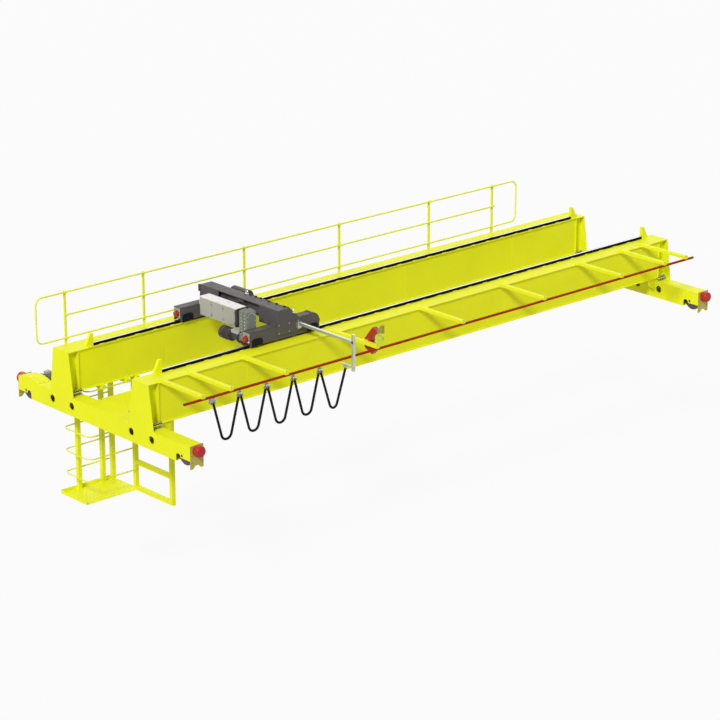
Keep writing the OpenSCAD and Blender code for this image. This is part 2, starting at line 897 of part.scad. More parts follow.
// Upright reduction gearbox on the near side frame's inner face, with its input neck
module gearbox() {
    w = 244;
    len = frame_y0 - drive_y;
    color(LIGHT) {
        translate([tx + drive_x, -frame_y0 + len / 2, frame_z + 25]) intersection() {
            translate([0, len / 2, 0]) rotate([90, 0, 0]) linear_extrude(len) gearbox_outline(w);
            translate([-w / 2, 0, 0]) rotate([90, 0, 90]) linear_extrude(w) gearbox_outline(len);
        }
        translate([tx + motor_x, -drive_y - 1, motor_z]) rotate([-90, 0, 0])
            cylinder(h = neck_len + 1, r = 78, $fn = 48);
    }
}

// Trolley travel motor with its fan cowl
module travel_motor() {
    body = [190, 120];
    cowl = [120, 132];
    color(DARK) translate([tx + motor_x, neck_len - drive_y, motor_z]) rotate([-90, 0, 0]) {
        cylinder(h = body[0], r = body[1], $fn = 64);
        translate([0, 0, body[0] - 1]) cylinder(h = cowl[0] + 1, r = cowl[1], $fn = 64);
    }
}

// Grooved drum between two flanges, with its shaft out to the near frame
module rope_drum() {
    groove_r = 10;
    end_plain = 60;
    grooves = 18;
    flange = [20, drum_d / 2 + 20];
    groove_pitch = (drum_len - 2 * end_plain) / grooves;
    color(DARK) translate([tx + drum_x, drum_y0, drum_z]) rotate([-90, 0, 0]) {
        translate([0, 0, -frame_y0 - drum_y0]) cylinder(h = frame_y0 + drum_y0 + 1, r = shaft_r, $fn = 48);
        difference() {
            cylinder(h = drum_len, d = drum_d, $fn = 96);
            rotate_extrude($fn = 96) for (k = [0:grooves - 1]) {
                translate([drum_d / 2 + 2, end_plain + (k + 0.5) * groove_pitch])
                    circle(r = groove_r, $fn = 24);
            }
        }
        for (z = [0, drum_len - flange[0]]) {
            translate([0, 0, z]) cylinder(h = flange[0], r = flange[1], $fn = 96);
        }
    }
}

// Gear case on the drum's far end with the hoist motor above it, held off the beam's rear web
module drum_drive() {
    case_w = 90;
    motor_len = 360;
    arm = [200, case_w, 110];
    color(DARK) translate([tx, drum_y1, 0]) {
        rotate([-90, 0, 0]) {
            hull() {
                translate([drum_x, -drum_z, 0]) cylinder(h = case_w, r = 140, $fn = 64);
                translate([drum_drive_x, -drum_drive_z, 0]) cylinder(h = case_w, d = drive_d, $fn = 64);
            }
            translate([drum_drive_x, -drum_drive_z, case_w - 1])
                cylinder(h = motor_len + 1, d = drive_d, $fn = 96);
        }
        translate([beam_back, 0, drum_drive_z - arm[2] / 2]) cube(arm);
    }
}

// Bottom block: two sheaves between cheeks, and the hook
module hook_block() {
    cheek = [180, 16, 340];
    color(DARK) translate([tx + block_x, 0, block_z]) {
        rotate([-90, 0, 0]) {
            for (y = [-sheave_y, sheave_y]) {
                translate([0, 0, y - 20]) cylinder(h = 40, r = sheave_r - rope_d / 2 - touch, $fn = 64);
            }
            translate([0, 0, -125]) cylinder(h = 250, r = 30, $fn = 32);
        }
        for (y = [-110, 110]) {
            translate([0, y, -170]) block(cheek);
        }
        translate([0, 0, -200]) block([150, 236, 50]);
        translate([0, 0, -260]) cylinder(h = 80, r = 32, $fn = 32);
        translate([0, 0, -345]) rotate([90, 0, 0]) hook();
    }
}

// Forged hook, round in section, open to one side
module hook() {
    bend_r = 75;
    bar_r = 24;
    rotate([0, 0, 180]) rotate_extrude(angle = 270, $fn = 64) translate([bend_r, 0])
        circle(r = bar_r, $fn = 24);
    translate([0, bend_r, 0]) rotate([-90, 0, 0]) cylinder(h = 40, r = bar_r, $fn = 32);
}

// Four rope falls: two up to the drum and two up to the anchor under the beam
module hoist_ropes() {
    color(BLACK) translate([tx, 0, block_z]) for (y = [-sheave_y, sheave_y]) {
        translate([block_x + sheave_r, y, 0]) cylinder(h = drum_z - block_z, d = rope_d, $fn = 16);
        translate([block_x - sheave_r, y, 0])
            cylinder(h = beam_top - beam_t - anchor_h - block_z, d = rope_d, $fn = 16);
    }
}

// Tow arm: root along the frame, tube out past the track, upright bar and foot with the last clamp
module tow_arm() {
    root_len = 240;
    bar_drop = 620;
    bar_rise = 140;
    y_head = frame_y1 + beam_t;
    half = tow_w / 2;
    color(LIGHT) translate([tx + tow_x, 0, 0]) {
        translate([-root_len, -y_head - tow_w, tow_z - half]) cube([root_len + half, tow_w, tow_w]);
        translate([-half, -tow_y - tow_w, tow_z - half]) cube([tow_w, tow_y - y_head, tow_w]);
        translate([-half, -tow_y - tow_w, tow_z - bar_drop])
            cube([tow_w, tow_w, bar_drop + bar_rise]);
        translate([-tow_foot_w / 2, -tow_y - 1, tow_foot_z])
            cube([tow_foot_w, tow_foot_len + 1, tow_foot_w]);
        translate([0, -tow_y + tow_clamp_in, tow_foot_z - tow_clamp_h])
            block([cable_d + 20, cable_d + 14, tow_clamp_h + 1]);
    }
}

module trolley_buffers() {
    buffer_l = 65;
    color(RED) translate([tx, 0, frame_z + 155]) both_sides() at_ends()
        translate([frame_end, rail_y, 0]) rotate([0, 90, 0]) cylinder(h = buffer_l, d = 110, $fn = 48);
}

module trolley_wheel(x_side, y_side) {
    tread = rail_w + 12;
    color(DARK) translate([tx + x_side * wheel_x, y_side * rail_y, tw_z]) rotate([0, 0, 90])
        rail_wheel(trolley_wheel_d / 2, tread, 12, 15, tw_axle_r, frame_w - 2);
}

left_outer_plate();
right_outer_plate();
truck_inner_plates();
truck_flanges();
truck_end_plates();
wheel_covers();
truck_buffers();
truck_wheel(-1, -1);  // truck_wheel_left_near
truck_wheel(-1, 1);  // truck_wheel_left_far
truck_wheel(1, -1);  // truck_wheel_right_near
truck_wheel(1, 1);  // truck_wheel_right_far
travel_drives();
mirror([0, 1, 0]) girder_flanges();  // near_girder_flanges
mirror([0, 1, 0]) girder_webs();  // near_girder_webs
girder_flanges();  // far_girder_flanges
girder_webs();  // far_girder_webs
girder_end_stiffeners();
girder_seats();
trolley_rails();
rail_stops();
handrail_posts();
handrail_rails();
handrail_end_bows();
festoon_arms();
festoon_track();
festoon_end_clamp();
cable_carrier(1);  // cable_carrier_1
cable_carrier(2);  // cable_carrier_2
cable_carrier(3);  // cable_carrier_3
cable_carrier(4);  // cable_carrier_4
cable_loop(clamp_at(0, 1), clamp_at(1, -1));  // cable_loop_1
cable_loop(clamp_at(1, 1), clamp_at(2, -1));  // cable_loop_2
cable_loop(clamp_at(2, 1), clamp_at(3, -1));  // cable_loop_3
cable_loop(clamp_at(3, 1), clamp_at(4, -1));  // cable_loop_4
cable_loop(clamp_at(4, 1), tow_clamp);  // cable_loop_5
warning_horn();
cage_platforms();
cage_posts();
cage_hoops();
cage_hangers();
collector_frame();
trolley_side_frames();
cross_beam();
hoist_cabinet();
gearbox();
travel_motor();
rope_drum();
drum_drive();
hook_block();
hoist_ropes();
tow_arm();
trolley_buffers();
trolley_wheel(-1, -1);  // trolley_wheel_front_near
trolley_wheel(-1, 1);  // trolley_wheel_front_far
trolley_wheel(1, -1);  // trolley_wheel_rear_near
trolley_wheel(1, 1);  // trolley_wheel_rear_far
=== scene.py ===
"""Looks of the double-girder overhead crane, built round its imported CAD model."""
import math

import bmesh
import bpy
from mathutils import Matrix, Vector


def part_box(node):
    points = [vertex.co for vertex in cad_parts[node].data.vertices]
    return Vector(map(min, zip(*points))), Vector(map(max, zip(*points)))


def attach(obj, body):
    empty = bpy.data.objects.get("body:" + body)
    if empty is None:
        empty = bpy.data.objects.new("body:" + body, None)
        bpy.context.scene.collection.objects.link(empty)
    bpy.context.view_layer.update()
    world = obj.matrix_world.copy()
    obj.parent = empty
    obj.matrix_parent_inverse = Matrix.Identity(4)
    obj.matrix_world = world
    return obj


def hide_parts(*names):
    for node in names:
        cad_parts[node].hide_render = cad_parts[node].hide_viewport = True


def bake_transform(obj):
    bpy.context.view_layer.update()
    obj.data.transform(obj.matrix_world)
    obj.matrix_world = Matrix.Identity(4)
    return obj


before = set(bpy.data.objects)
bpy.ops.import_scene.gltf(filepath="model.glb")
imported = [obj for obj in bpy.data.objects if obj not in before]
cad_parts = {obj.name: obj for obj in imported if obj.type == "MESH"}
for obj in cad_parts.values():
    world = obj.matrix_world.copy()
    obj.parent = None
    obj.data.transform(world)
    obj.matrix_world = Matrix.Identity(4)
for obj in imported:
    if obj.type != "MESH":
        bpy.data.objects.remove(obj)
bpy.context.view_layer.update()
scene = bpy.context.scene

# ------------------------ materials


def new_material(name):
    mat = bpy.data.materials.new(name)
    mat.use_nodes = True
    return mat, mat.node_tree, mat.node_tree.nodes["Principled BSDF"]


def noise(tree, scale, detail=4.0, rough=0.6, stretch=None):
    """A noise texture in object space, with its scale given per axis if stretched."""
    coords = tree.nodes.new("ShaderNodeTexCoord")
    source = coords.outputs["Object"]
    if stretch:
        mapping = tree.nodes.new("ShaderNodeMapping")
        mapping.inputs["Scale"].default_value = stretch
        tree.links.new(source, mapping.inputs["Vector"])
        source = mapping.outputs["Vector"]
    tex = tree.nodes.new("ShaderNodeTexNoise")
    tex.inputs["Scale"].default_value = scale
    tex.inputs["Detail"].default_value = detail
    tex.inputs["Roughness"].default_value = rough
    tree.links.new(source, tex.inputs["Vector"])
    return tex.outputs["Fac"]


def spread(tree, fac, low, high, to_low=0.0, to_high=1.0):
    """Maps fac from low..high to the given range, clamped."""
    node = tree.nodes.new("ShaderNodeMapRange")
    node.inputs["From Min"].default_value = low
    node.inputs["From Max"].default_value = high
    node.inputs["To Min"].default_value = to_low
    node.inputs["To Max"].default_value = to_high
    tree.links.new(fac, node.inputs["Value"])
    return node.outputs["Result"]


def combine(tree, operation, a, b):
    """A math node over two outputs."""
    node = tree.nodes.new("ShaderNodeMath")
    node.operation = operation
    tree.links.new(a, node.inputs[0])
    tree.links.new(b, node.inputs[1])
    return node.outputs["Value"]


def mix_color(tree, fac, a, b):
    """A blend from a to b, where each is an output or a colour."""
    node = tree.nodes.new("ShaderNodeMix")
    node.data_type = "RGBA"
    for socket, value in ((node.inputs["A"], a), (node.inputs["B"], b)):
        if hasattr(value, "is_linked"):
            tree.links.new(value, socket)
        else:
            socket.default_value = (*value, 1.0)
    tree.links.new(fac, node.inputs["Factor"])
    return node.outputs["Result"]


def add_bump(tree, shader, height, strength, distance):
    bump = tree.nodes.new("ShaderNodeBump")
    bump.inputs["Strength"].default_value = strength
    bump.inputs["Distance"].default_value = distance
    tree.links.new(height, bump.inputs["Height"])
    tree.links.new(bump.outputs["Normal"], shader.inputs["Normal"])


DUST = (0.45, 0.42, 0.34)
GRIME = (0.10, 0.09, 0.08)


def painted(name, color, rough, mottle, dust=0.0, gloss_level=0.3):
    """Sprayed paint: slight mottling over a metre, orange peel, and dust that lies on what faces up."""
    mat, tree, shader = new_material(name)
    tint = [c * (1.0 - mottle) for c in color]
    broad = spread(tree, noise(tree, 0.9, 5.0), 0.35, 0.65)
    base = mix_color(tree, broad, color, tint)
    if dust:
        geometry = tree.nodes.new("ShaderNodeNewGeometry")
        split = tree.nodes.new("ShaderNodeSeparateXYZ")
        tree.links.new(geometry.outputs["Normal"], split.inputs["Vector"])
        up = spread(tree, split.outputs["Z"], 0.6, 1.0)
        patch = spread(tree, noise(tree, 3.1, 6.0, 0.7), 0.42, 0.75, 0.0, dust)
        base = mix_color(tree, combine(tree, "MULTIPLY", up, patch), base, DUST)
    tree.links.new(base, shader.inputs["Base Color"])
    gloss = spread(tree, noise(tree, 6.0, 5.0), 0.3, 0.7, rough - 0.07, rough + 0.09)
    tree.links.new(gloss, shader.inputs["Roughness"])
    shader.inputs["Specular IOR Level"].default_value = gloss_level
    add_bump(tree, shader, noise(tree, 180.0, 2.0), 0.12, 0.0006)
    return mat


def metal(name, color, rough, brushed=None):
    """Bare metal with a brushed or turned grain and darker grime in patches."""
    mat, tree, shader = new_material(name)
    patch = spread(tree, noise(tree, 14.0, 6.0, 0.7), 0.62, 0.80, 0.0, 0.7)
    tree.links.new(mix_color(tree, patch, color, GRIME), shader.inputs["Base Color"])
    shader.inputs["Metallic"].default_value = 0.9
    grain = noise(tree, 60.0, 3.0, 0.6, brushed)
    tree.links.new(spread(tree, grain, 0.3, 0.7, rough - 0.08, rough + 0.12), shader.inputs["Roughness"])
    add_bump(tree, shader, grain, 0.15, 0.0005)
    return mat


def rubber(name, color, rough, gloss_level=0.5):
    """Rubber or cable sheath: dark, with paler worn patches and a fine grain."""
    mat, tree, shader = new_material(name)
    tint = [min(1.0, c * 1.35 + 0.004) for c in color]
    worn = spread(tree, noise(tree, 25.0, 6.0, 0.7), 0.45, 0.7)
    tree.links.new(mix_color(tree, worn, color, tint), shader.inputs["Base Color"])
    tree.links.new(spread(tree, noise(tree, 40.0), 0.3, 0.7, rough - 0.1, rough + 0.1),
                   shader.inputs["Roughness"])
    shader.inputs["Specular IOR Level"].default_value = gloss_level
    add_bump(tree, shader, noise(tree, 400.0, 2.0), 0.2, 0.0004)
    return mat


crane_paint = painted("crane yellow paint", (0.80, 0.82, 0.010), 0.5, 0.06, 0.04, 0.14)
end_paint = painted("truck end buff paint", (0.47, 0.42, 0.075), 0.5, 0.10, 0.05)
# Black of the bearing blocks is painted shade: the blocks stand for the shaded openings of the trolley's wheel arches.
bearing_painted_shade_paint = painted("bearing black painted shade", (0.010, 0.010, 0.011), 0.55, 0.2, 0.0, 0.1)
nose_paint = painted("cover plate grey paint", (0.30, 0.30, 0.24), 0.45, 0.08, 0.1)
box_paint = painted("terminal box grey paint", (0.40, 0.41, 0.39), 0.42, 0.05, 0.05)
conduit_paint = painted("conduit cream paint", (0.70, 0.70, 0.40), 0.4, 0.06)
# The lid's pale grey is painted highlight: it makes the cabinet's top and its turned front edge lighter than the sides,
# as light falling on them would.
cabinet_top_highlight_paint = painted("cabinet lid painted highlight", (0.72, 0.70, 0.67), 0.4, 0.04)
trolley_paint = painted("trolley dark grey paint", (0.100, 0.092, 0.090), 0.5, 0.12, 0.04, 0.12)
motor_paint = painted("motor dark paint", (0.045, 0.040, 0.045), 0.5, 0.2, 0.1)
gear_paint = painted("gearbox grey-green paint", (0.19, 0.205, 0.185), 0.45, 0.15, 0.05, 0.2)
cabinet_paint = painted("cabinet light grey paint", (0.38, 0.375, 0.36), 0.38, 0.05, 0.05)
drive_paint = painted("drive grey paint", (0.13, 0.135, 0.14), 0.45, 0.15, 0.2)
track_paint = painted("track red paint", (0.36, 0.032, 0.0), 0.55, 0.2, 0.0, 0.05)
horn_paint = painted("horn red paint", (0.42, 0.02, 0.025), 0.35, 0.1, 0.05)
rail_paint = painted("rail black", (0.004, 0.004, 0.004), 0.6, 0.3, 0.0, 0.05)
hook_paint = painted("hook block dark paint", (0.07, 0.07, 0.07), 0.5, 0.2, 0.1)
web_paint = painted("deep web purple-grey paint", (0.100, 0.086, 0.101), 0.5, 0.12, 0.0, 0.12)
buffer_rubber = rubber("buffer red rubber", (0.40, 0.014, 0.012), 0.3, 0.3)
cable_rubber = rubber("cable black sheath", (0.004, 0.004, 0.004), 0.6, 0.1)
black_rubber = rubber("black rubber", (0.015, 0.015, 0.016), 0.6)
zinc = metal("zinc plated steel", (0.34, 0.34, 0.33), 0.5)
bright_zinc = metal("bright plated steel", (0.72, 0.72, 0.70), 0.32)
dark_iron = metal("dark iron", (0.05, 0.05, 0.05), 0.55)
tow_steel = metal("galvanised steel", (0.55, 0.58, 0.52), 0.48)
wheel_iron = metal("wheel iron", (0.13, 0.10, 0.125), 0.55)
rail_top_steel = metal("polished rail top", (0.55, 0.55, 0.56), 0.3, (1, 40, 40))
rope_steel = metal("greased rope", (0.10, 0.095, 0.09), 0.5, (1, 1, 6))
bell_paint = painted("horn bell yellow-green paint", (0.55, 0.66, 0.06), 0.4, 0.12, 0.1)
# Olive at about half the bell's colour is painted shade, for the plate that stands for the horn's shadow.
bell_shade_paint = painted("horn olive painted shade", (0.28, 0.32, 0.04), 0.45, 0.12, 0.1)

NODE_MATERIAL = {
    "truck_buffers": buffer_rubber, "trolley_buffers": buffer_rubber, "travel_drives": drive_paint,
    "trolley_rails": rail_paint, "festoon_track": track_paint, "festoon_end_clamp": zinc,
    "warning_horn": horn_paint, "truck_end_plates": end_paint, "trolley_side_frames": trolley_paint,
    "cross_beam": trolley_paint, "hoist_cabinet": cabinet_paint, "gearbox": gear_paint,
    "travel_motor": motor_paint, "drum_drive": motor_paint, "rope_drum": hook_paint,
    "hook_block": hook_paint, "hoist_ropes": rope_steel, "tow_arm": tow_steel,
}


def material_of(node):
    if node in NODE_MATERIAL:
        return NODE_MATERIAL[node]
    if node.startswith(("truck_wheel", "trolley_wheel")):
        return wheel_iron
    if node.startswith("cable_carrier"):
        return zinc
    if node.startswith("cable_loop"):
        return cable_rubber
    return crane_paint


for name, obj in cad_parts.items():
    for slot in obj.material_slots:
        slot.material = material_of(name)

# ------------------------ camera

VIEW_AZIMUTH = math.radians(-42.083)
VIEW_ELEVATION = math.radians(18.862)
VIEW_DISTANCE = 58.19
VIEW_TARGET = Vector((-0.281, 0.305, -0.224))
# from the target towards the camera
back = Vector((math.sin(VIEW_AZIMUTH) * math.cos(VIEW_ELEVATION),
               -math.cos(VIEW_AZIMUTH) * math.cos(VIEW_ELEVATION), math.sin(VIEW_ELEVATION)))
camera_data = bpy.data.cameras.new("camera")
camera_data.lens = 136.1
camera_data.clip_end = 500.0
camera = bpy.data.objects.new("camera", camera_data)
scene.collection.objects.link(camera)
camera.location = VIEW_TARGET + VIEW_DISTANCE * back
camera.rotation_euler = back.to_track_quat("Z", "Y").to_euler()
scene.camera = camera

# ------------------------ mesh helpers

TURN, QUARTER = 2 * math.pi, math.pi / 2
UP = (0, 0, 1)


def meshes(count):
    return [bmesh.new() for _ in range(count)]


def arc(start, end, steps):
    """Angles from start to end, both included."""
    return [start + k * (end - start) / steps for k in range(steps + 1)]


def box_of(node):
    low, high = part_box(node)
    return Vector(low), Vector(high)


def middle(node, axis):
    low, high = box_of(node)
    return (low[axis] + high[axis]) / 2


def make_object(name, bm, material, body="root", smooth=False):
    """Turns a mesh into an object that moves with body; the mesh is used up."""
    bmesh.ops.recalc_face_normals(bm, faces=bm.faces)
    mesh = bpy.data.meshes.new(name)
    bm.to_mesh(mesh)
    bm.free()
    for polygon in mesh.polygons:
        polygon.use_smooth = smooth
    mesh.materials.append(material)
    obj = bpy.data.objects.new(name, mesh)
    scene.collection.objects.link(obj)
    if body:
        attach(obj, body)
    return obj


def add_box(bm, low, high, bevel=0.0):
    """A box between two opposite corners, with its edges rounded off if bevel is given."""
    centre = [(a + b) / 2 for a, b in zip(low, high)]
    size = [abs(b - a) for a, b in zip(low, high)]
    matrix = Matrix.Translation(centre) @ Matrix.Diagonal((*size, 1.0))
    if not bevel:
        bmesh.ops.create_cube(bm, size=1.0, matrix=matrix)
        return
    # bevelled on its own, so that the order of faces is the same in every run
    box = bmesh.new()
    bmesh.ops.create_cube(box, size=1.0, matrix=matrix)
    bmesh.ops.bevel(box, geom=list(box.edges), offset=bevel, segments=2, profile=0.5, affect="EDGES")
    mesh = bpy.data.meshes.new("box")
    box.to_mesh(mesh)
    box.free()
    bm.from_mesh(mesh)
    bpy.data.meshes.remove(mesh)


def axis_matrix(at, axis):
    """A frame at a point whose Z runs along axis."""
    return Matrix.Translation(at) @ Vector(axis).to_track_quat("Z", "Y").to_matrix().to_4x4()


def turned_rings(bm, at, axis, profile, sides):
    """Rings of vertices round axis, one for each (height along axis, radius)."""
    matrix = axis_matrix(at, axis)
    return [[bm.verts.new(matrix @ Vector((radius * math.cos(a), radius * math.sin(a), height)))
             for a in arc(0, TURN, sides)[:-1]] for height, radius in profile]


def join_rings(bm, rings, capped=True):
    """Faces between each ring and the next, and over both ends if capped."""
    for a, b in zip(rings, rings[1:]):
        for k in range(len(a)):
            after = (k + 1) % len(a)
            bm.faces.new((a[k], a[after], b[after], b[k]))
    if capped:
        bm.faces.new(rings[0][::-1])
        bm.faces.new(rings[-1])


def add_turned(bm, at, axis, profile, sides=24):
    """A solid of revolution, closed at both ends: profile is a list of (height along axis, radius)."""
    join_rings(bm, turned_rings(bm, at, axis, profile, sides))


def add_bolt(bm, at, axis, size):
    """A hexagon head on a washer; size is the thread's diameter."""
    add_turned(bm, at, axis, [(0, size), (0.16 * size, size)], 16)
    head = Vector(at) + Vector(axis).normalized() * 0.16 * size
    add_turned(bm, head, axis, [(0, 0.87 * size), (0.55 * size, 0.87 * size), (0.64 * size, 0.75 * size)], 6)


def add_ring(bm, at, axis, outer, inner, height, sides):
    """A flat ring that stands on at."""
    profile = ((0, outer), (height, outer), (height, inner), (0, inner))
    rings = turned_rings(bm, at, axis, profile, sides)
    join_rings(bm, rings + rings[:1], False)


def add_tube(bm, path, radius, sides=16):
    """A round tube along a list of points, carried round bends without twist."""
    points = [Vector(p) for p in path]
    before, after = points[:1] + points[:-1], points[1:] + points[-1:]
    tangents = [(b - a).normalized() for a, b in zip(before, after)]
    side = tangents[0].orthogonal().normalized()
    rings = []
    for point, tangent in zip(points, tangents):
        side = (side - tangent * side.dot(tangent)).normalized()
        other = tangent.cross(side)
        rings.append([bm.verts.new(point + radius * (math.cos(a) * side + math.sin(a) * other))
                      for a in arc(0, TURN, sides)[:-1]])
    join_rings(bm, rings)


def add_weld(bm, a, b, size):
    """A weld bead from a to b, in short steps."""
    a, b = Vector(a), Vector(b)
    steps = max(2, int((b - a).length / 0.06))
    add_tube(bm, [a.lerp(b, k / steps) for k in range(steps + 1)], size, 6)


def add_prism(bm, outline, axis, low, high):
    """An outline in the other two axes, in the order X, Y, Z, drawn out along axis from low to high."""
    def place(u, v, w):
        return {"x": (w, u, v), "y": (u, w, v), "z": (u, v, w)}[axis]
    join_rings(bm, [[bm.verts.new(place(u, v, w)) for u, v in outline] for w in (low, high)])


def add_nut_stud(bm, at, height, size):
    """A stud that stands on at, with a nut near its top."""
    add_turned(bm, at, UP, [(0, size / 2), (height, size / 2), (height + 0.1 * size, 0.4 * size)], 12)
    nut = Vector(at) + Vector((0, 0, height - 1.1 * size))
    flats, corners = 0.85 * size, 0.93 * size
    add_turned(bm, nut, UP, [(0, flats), (0.1 * size, corners), (0.7 * size, corners), (0.8 * size, flats)], 6)


# ------------------------ festoon cable

CABLE_D = 0.050
LOOP_DEPTH = 0.79
LOOP_R = 0.125
CABLE_OFF = CABLE_D / 2 + 0.002
LOOPS = 5
FLANK_STEPS = 6
BEND_STEPS = 12
TOW_CLAMP_UP = 0.02


def clamp_centre(k):
    """Middle of the k-th clamp's underside: the fixed one, the four carriers and the tow arm's."""
    if k == 0:
        low, high = box_of("festoon_end_clamp")
    elif k < LOOPS:
        low, high = box_of("cable_carrier_%d" % k)
    else:
        low, high = box_of("cable_loop_5")
        return Vector((high.x - CABLE_D / 2, high.y - CABLE_D / 2, box_of("tow_arm")[0].z + TOW_CLAMP_UP))
    return Vector(((low.x + high.x) / 2, (low.y + high.y) / 2, low.z))


def loop_half(width):
    """Left half of a hanging loop from its clamp to its lowest point: a straight flank, then a bend."""
    drop = LOOP_DEPTH - LOOP_R
    lean = math.atan(width / 2 / drop) - math.asin(LOOP_R / math.hypot(width / 2, drop))
    bend = [(width / 2 - LOOP_R * math.cos(a), -drop - LOOP_R * math.sin(a)) for a in arc(lean, QUARTER, BEND_STEPS)]
    return [(bend[0][0] * k / FLANK_STEPS, bend[0][1] * k / FLANK_STEPS) for k in range(FLANK_STEPS)] + bend


def make_loop(k):
    """The k-th cable loop, hung between the clamps at its two ends."""
    a = clamp_centre(k - 1) + Vector((CABLE_OFF, 0, 0))
    b = clamp_centre(k)
    if k < LOOPS:
        b -= Vector((CABLE_OFF, 0, 0))
    width = (b - a).x
    half = loop_half(width)
    both = half + [(width - across, down) for across, down in reversed(half[:-1])]
    path = [a + (b - a) * (across / width) + Vector((0, 0, down)) for across, down in both]
    bm = bmesh.new()
    add_tube(bm, path, CABLE_D / 2)
    loop = make_object("festoon_loop_%d" % k, bm, cable_rubber, None, True)
    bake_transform(loop)
    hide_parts("cable_loop_%d" % k)


for number in range(1, LOOPS + 1):
    make_loop(number)

# ------------------------ shared places, mostly from the CAD

SKIN = 0.0003  # a detail stands this far off the solid's face that it lies on
MIRRORED = [(sx, sy) for sx in (-1, 1) for sy in (-1, 1)]
OUT_X = box_of("right_outer_plate")[1].x
HALF_TRUCK = box_of("truck_end_plates")[1].y
TRUCK_X = middle("truck_wheel_right_near", 0)
TRUCK_TOP = box_of("wheel_covers")[0].z
FAR_LOW, FAR_HIGH = box_of("far_girder_flanges")
GIRDER_Y = (FAR_LOW.y + FAR_HIGH.y) / 2
FLANGE_W = FAR_HIGH.y - FAR_LOW.y
GIRDER_TOP, GIRDER_FOOT = FAR_HIGH.z, FAR_LOW.z
RAIL_LOW, RAIL_HIGH = box_of("trolley_rails")
RAIL_W = RAIL_HIGH.z - RAIL_LOW.z
RAIL_Y = RAIL_HIGH.y - RAIL_W / 2
POST_X = [side * step - 1.09 for step in (1.33, 3.99, 5.955) for side in (-1, 1)]
ARM_X = [side * step - 0.268 for step in (2.37, 4.74, 6.12, 6.81) for side in (-1, 1)] + [-0.268]
TX = middle("trolley_side_frames", 0)
FRAME_FOOT = box_of("trolley_side_frames")[0].z
BEAM_HIGH = box_of("cross_beam")[1]
BEAM_BACK_X = TX + 0.10

# ------------------------ end trucks

HOLE_PITCH, HOLE_Z, HOLE_D = 0.64, 0.265, 0.155
RIM_W, RIM_H = 0.012, 0.006
END_BOLT_X, END_BOLT_Z = 0.128, (0.43, 0.25, 0.13)
LIP_HALF, LIP_T = 0.14, 0.008


def truck_details():
    """Rims of the plates' holes, the end plates' bolts, and the lips that hold the wheel covers down."""
    rims, bolts, lips, lip_bolts = meshes(4)
    inner_x = 2 * TRUCK_X - OUT_X
    for sx, sy in MIRRORED:
        for face_x, out in ((sx * OUT_X, sx), (sx * inner_x, -sx)):
            for k in (-1, 1):
                hole = Vector((face_x, sy * GIRDER_Y + k * HOLE_PITCH / 2, HOLE_Z))
                add_ring(rims, hole, (out, 0, 0), HOLE_D / 2 + RIM_W, HOLE_D / 2, RIM_H, 40)
        for z in END_BOLT_Z:
            for dx in (-END_BOLT_X, END_BOLT_X):
                add_bolt(bolts, (sx * TRUCK_X + dx, sy * (HALF_TRUCK - 0.001), z), (0, sy, 0), 0.014)
    cover_low, cover_high = box_of("wheel_covers")
    for sx in (-1, 1):
        for y, dy in ((cover_low.y, -1), (cover_high.y, 1)):
            add_box(lips, (sx * TRUCK_X - LIP_HALF, y - dy * 0.03, TRUCK_TOP + SKIN),
                    (sx * TRUCK_X + LIP_HALF, y + dy * 0.045, TRUCK_TOP + LIP_T), 0.002)
            for dx in (-0.11, 0, 0.11):
                add_bolt(lip_bolts, (sx * TRUCK_X + dx, y + dy * 0.022, TRUCK_TOP + LIP_T), UP, 0.010)
    make_object("truck_hole_rims", rims, crane_paint)
    make_object("end_plate_bolts", bolts, zinc)
    make_object("wheel_cover_lips", lips, crane_paint)
    make_object("wheel_cover_bolts", lip_bolts, zinc)


LUG_REACH, LUG_T = 0.050, 0.014
SEAT_BOLT_PITCH = 0.072
WASHER = [(0, 0.031), (0.006, 0.031)]
JACK_BOLT = [(0, 0.024), (0.022, 0.024), (0.024, 0.015), (0.063, 0.015)]


def seat_details():
    """Bolted lugs that hold the girders' feet down on the trucks."""
    lugs, studs, washers = meshes(3)
    for sx, sy in MIRRORED:
        for side in (-1, 1):
            edge = sy * GIRDER_Y + side * FLANGE_W / 2
            add_box(lugs, (sx * (TRUCK_X - 0.14), edge, GIRDER_FOOT - 0.006),
                    (sx * (TRUCK_X + 0.085), edge + side * LUG_REACH, GIRDER_FOOT + LUG_T), 0.003)
            for k in (-1, 0, 1):
                x, y = sx * (TRUCK_X - 0.028 + k * SEAT_BOLT_PITCH), edge + side * LUG_REACH / 2
                add_turned(washers, (x, y, GIRDER_FOOT + 0.0142), UP, WASHER, 20)
                add_nut_stud(studs, (x, y, GIRDER_FOOT + 0.0204), 0.042, 0.030)
                add_turned(studs, (x, y, TRUCK_TOP + SKIN), UP, JACK_BOLT, 12)
    make_object("seat_lugs", lugs, crane_paint)
    make_object("seat_washers", washers, dark_iron)
    make_object("seat_bolts", studs, zinc)


# ------------------------ girders and rails

WEB_JOINTS = (-4.9, -1.6, 1.75, 5.05)
RAIL_WELD, RAIL_WELD_PITCH = 0.12, 0.45


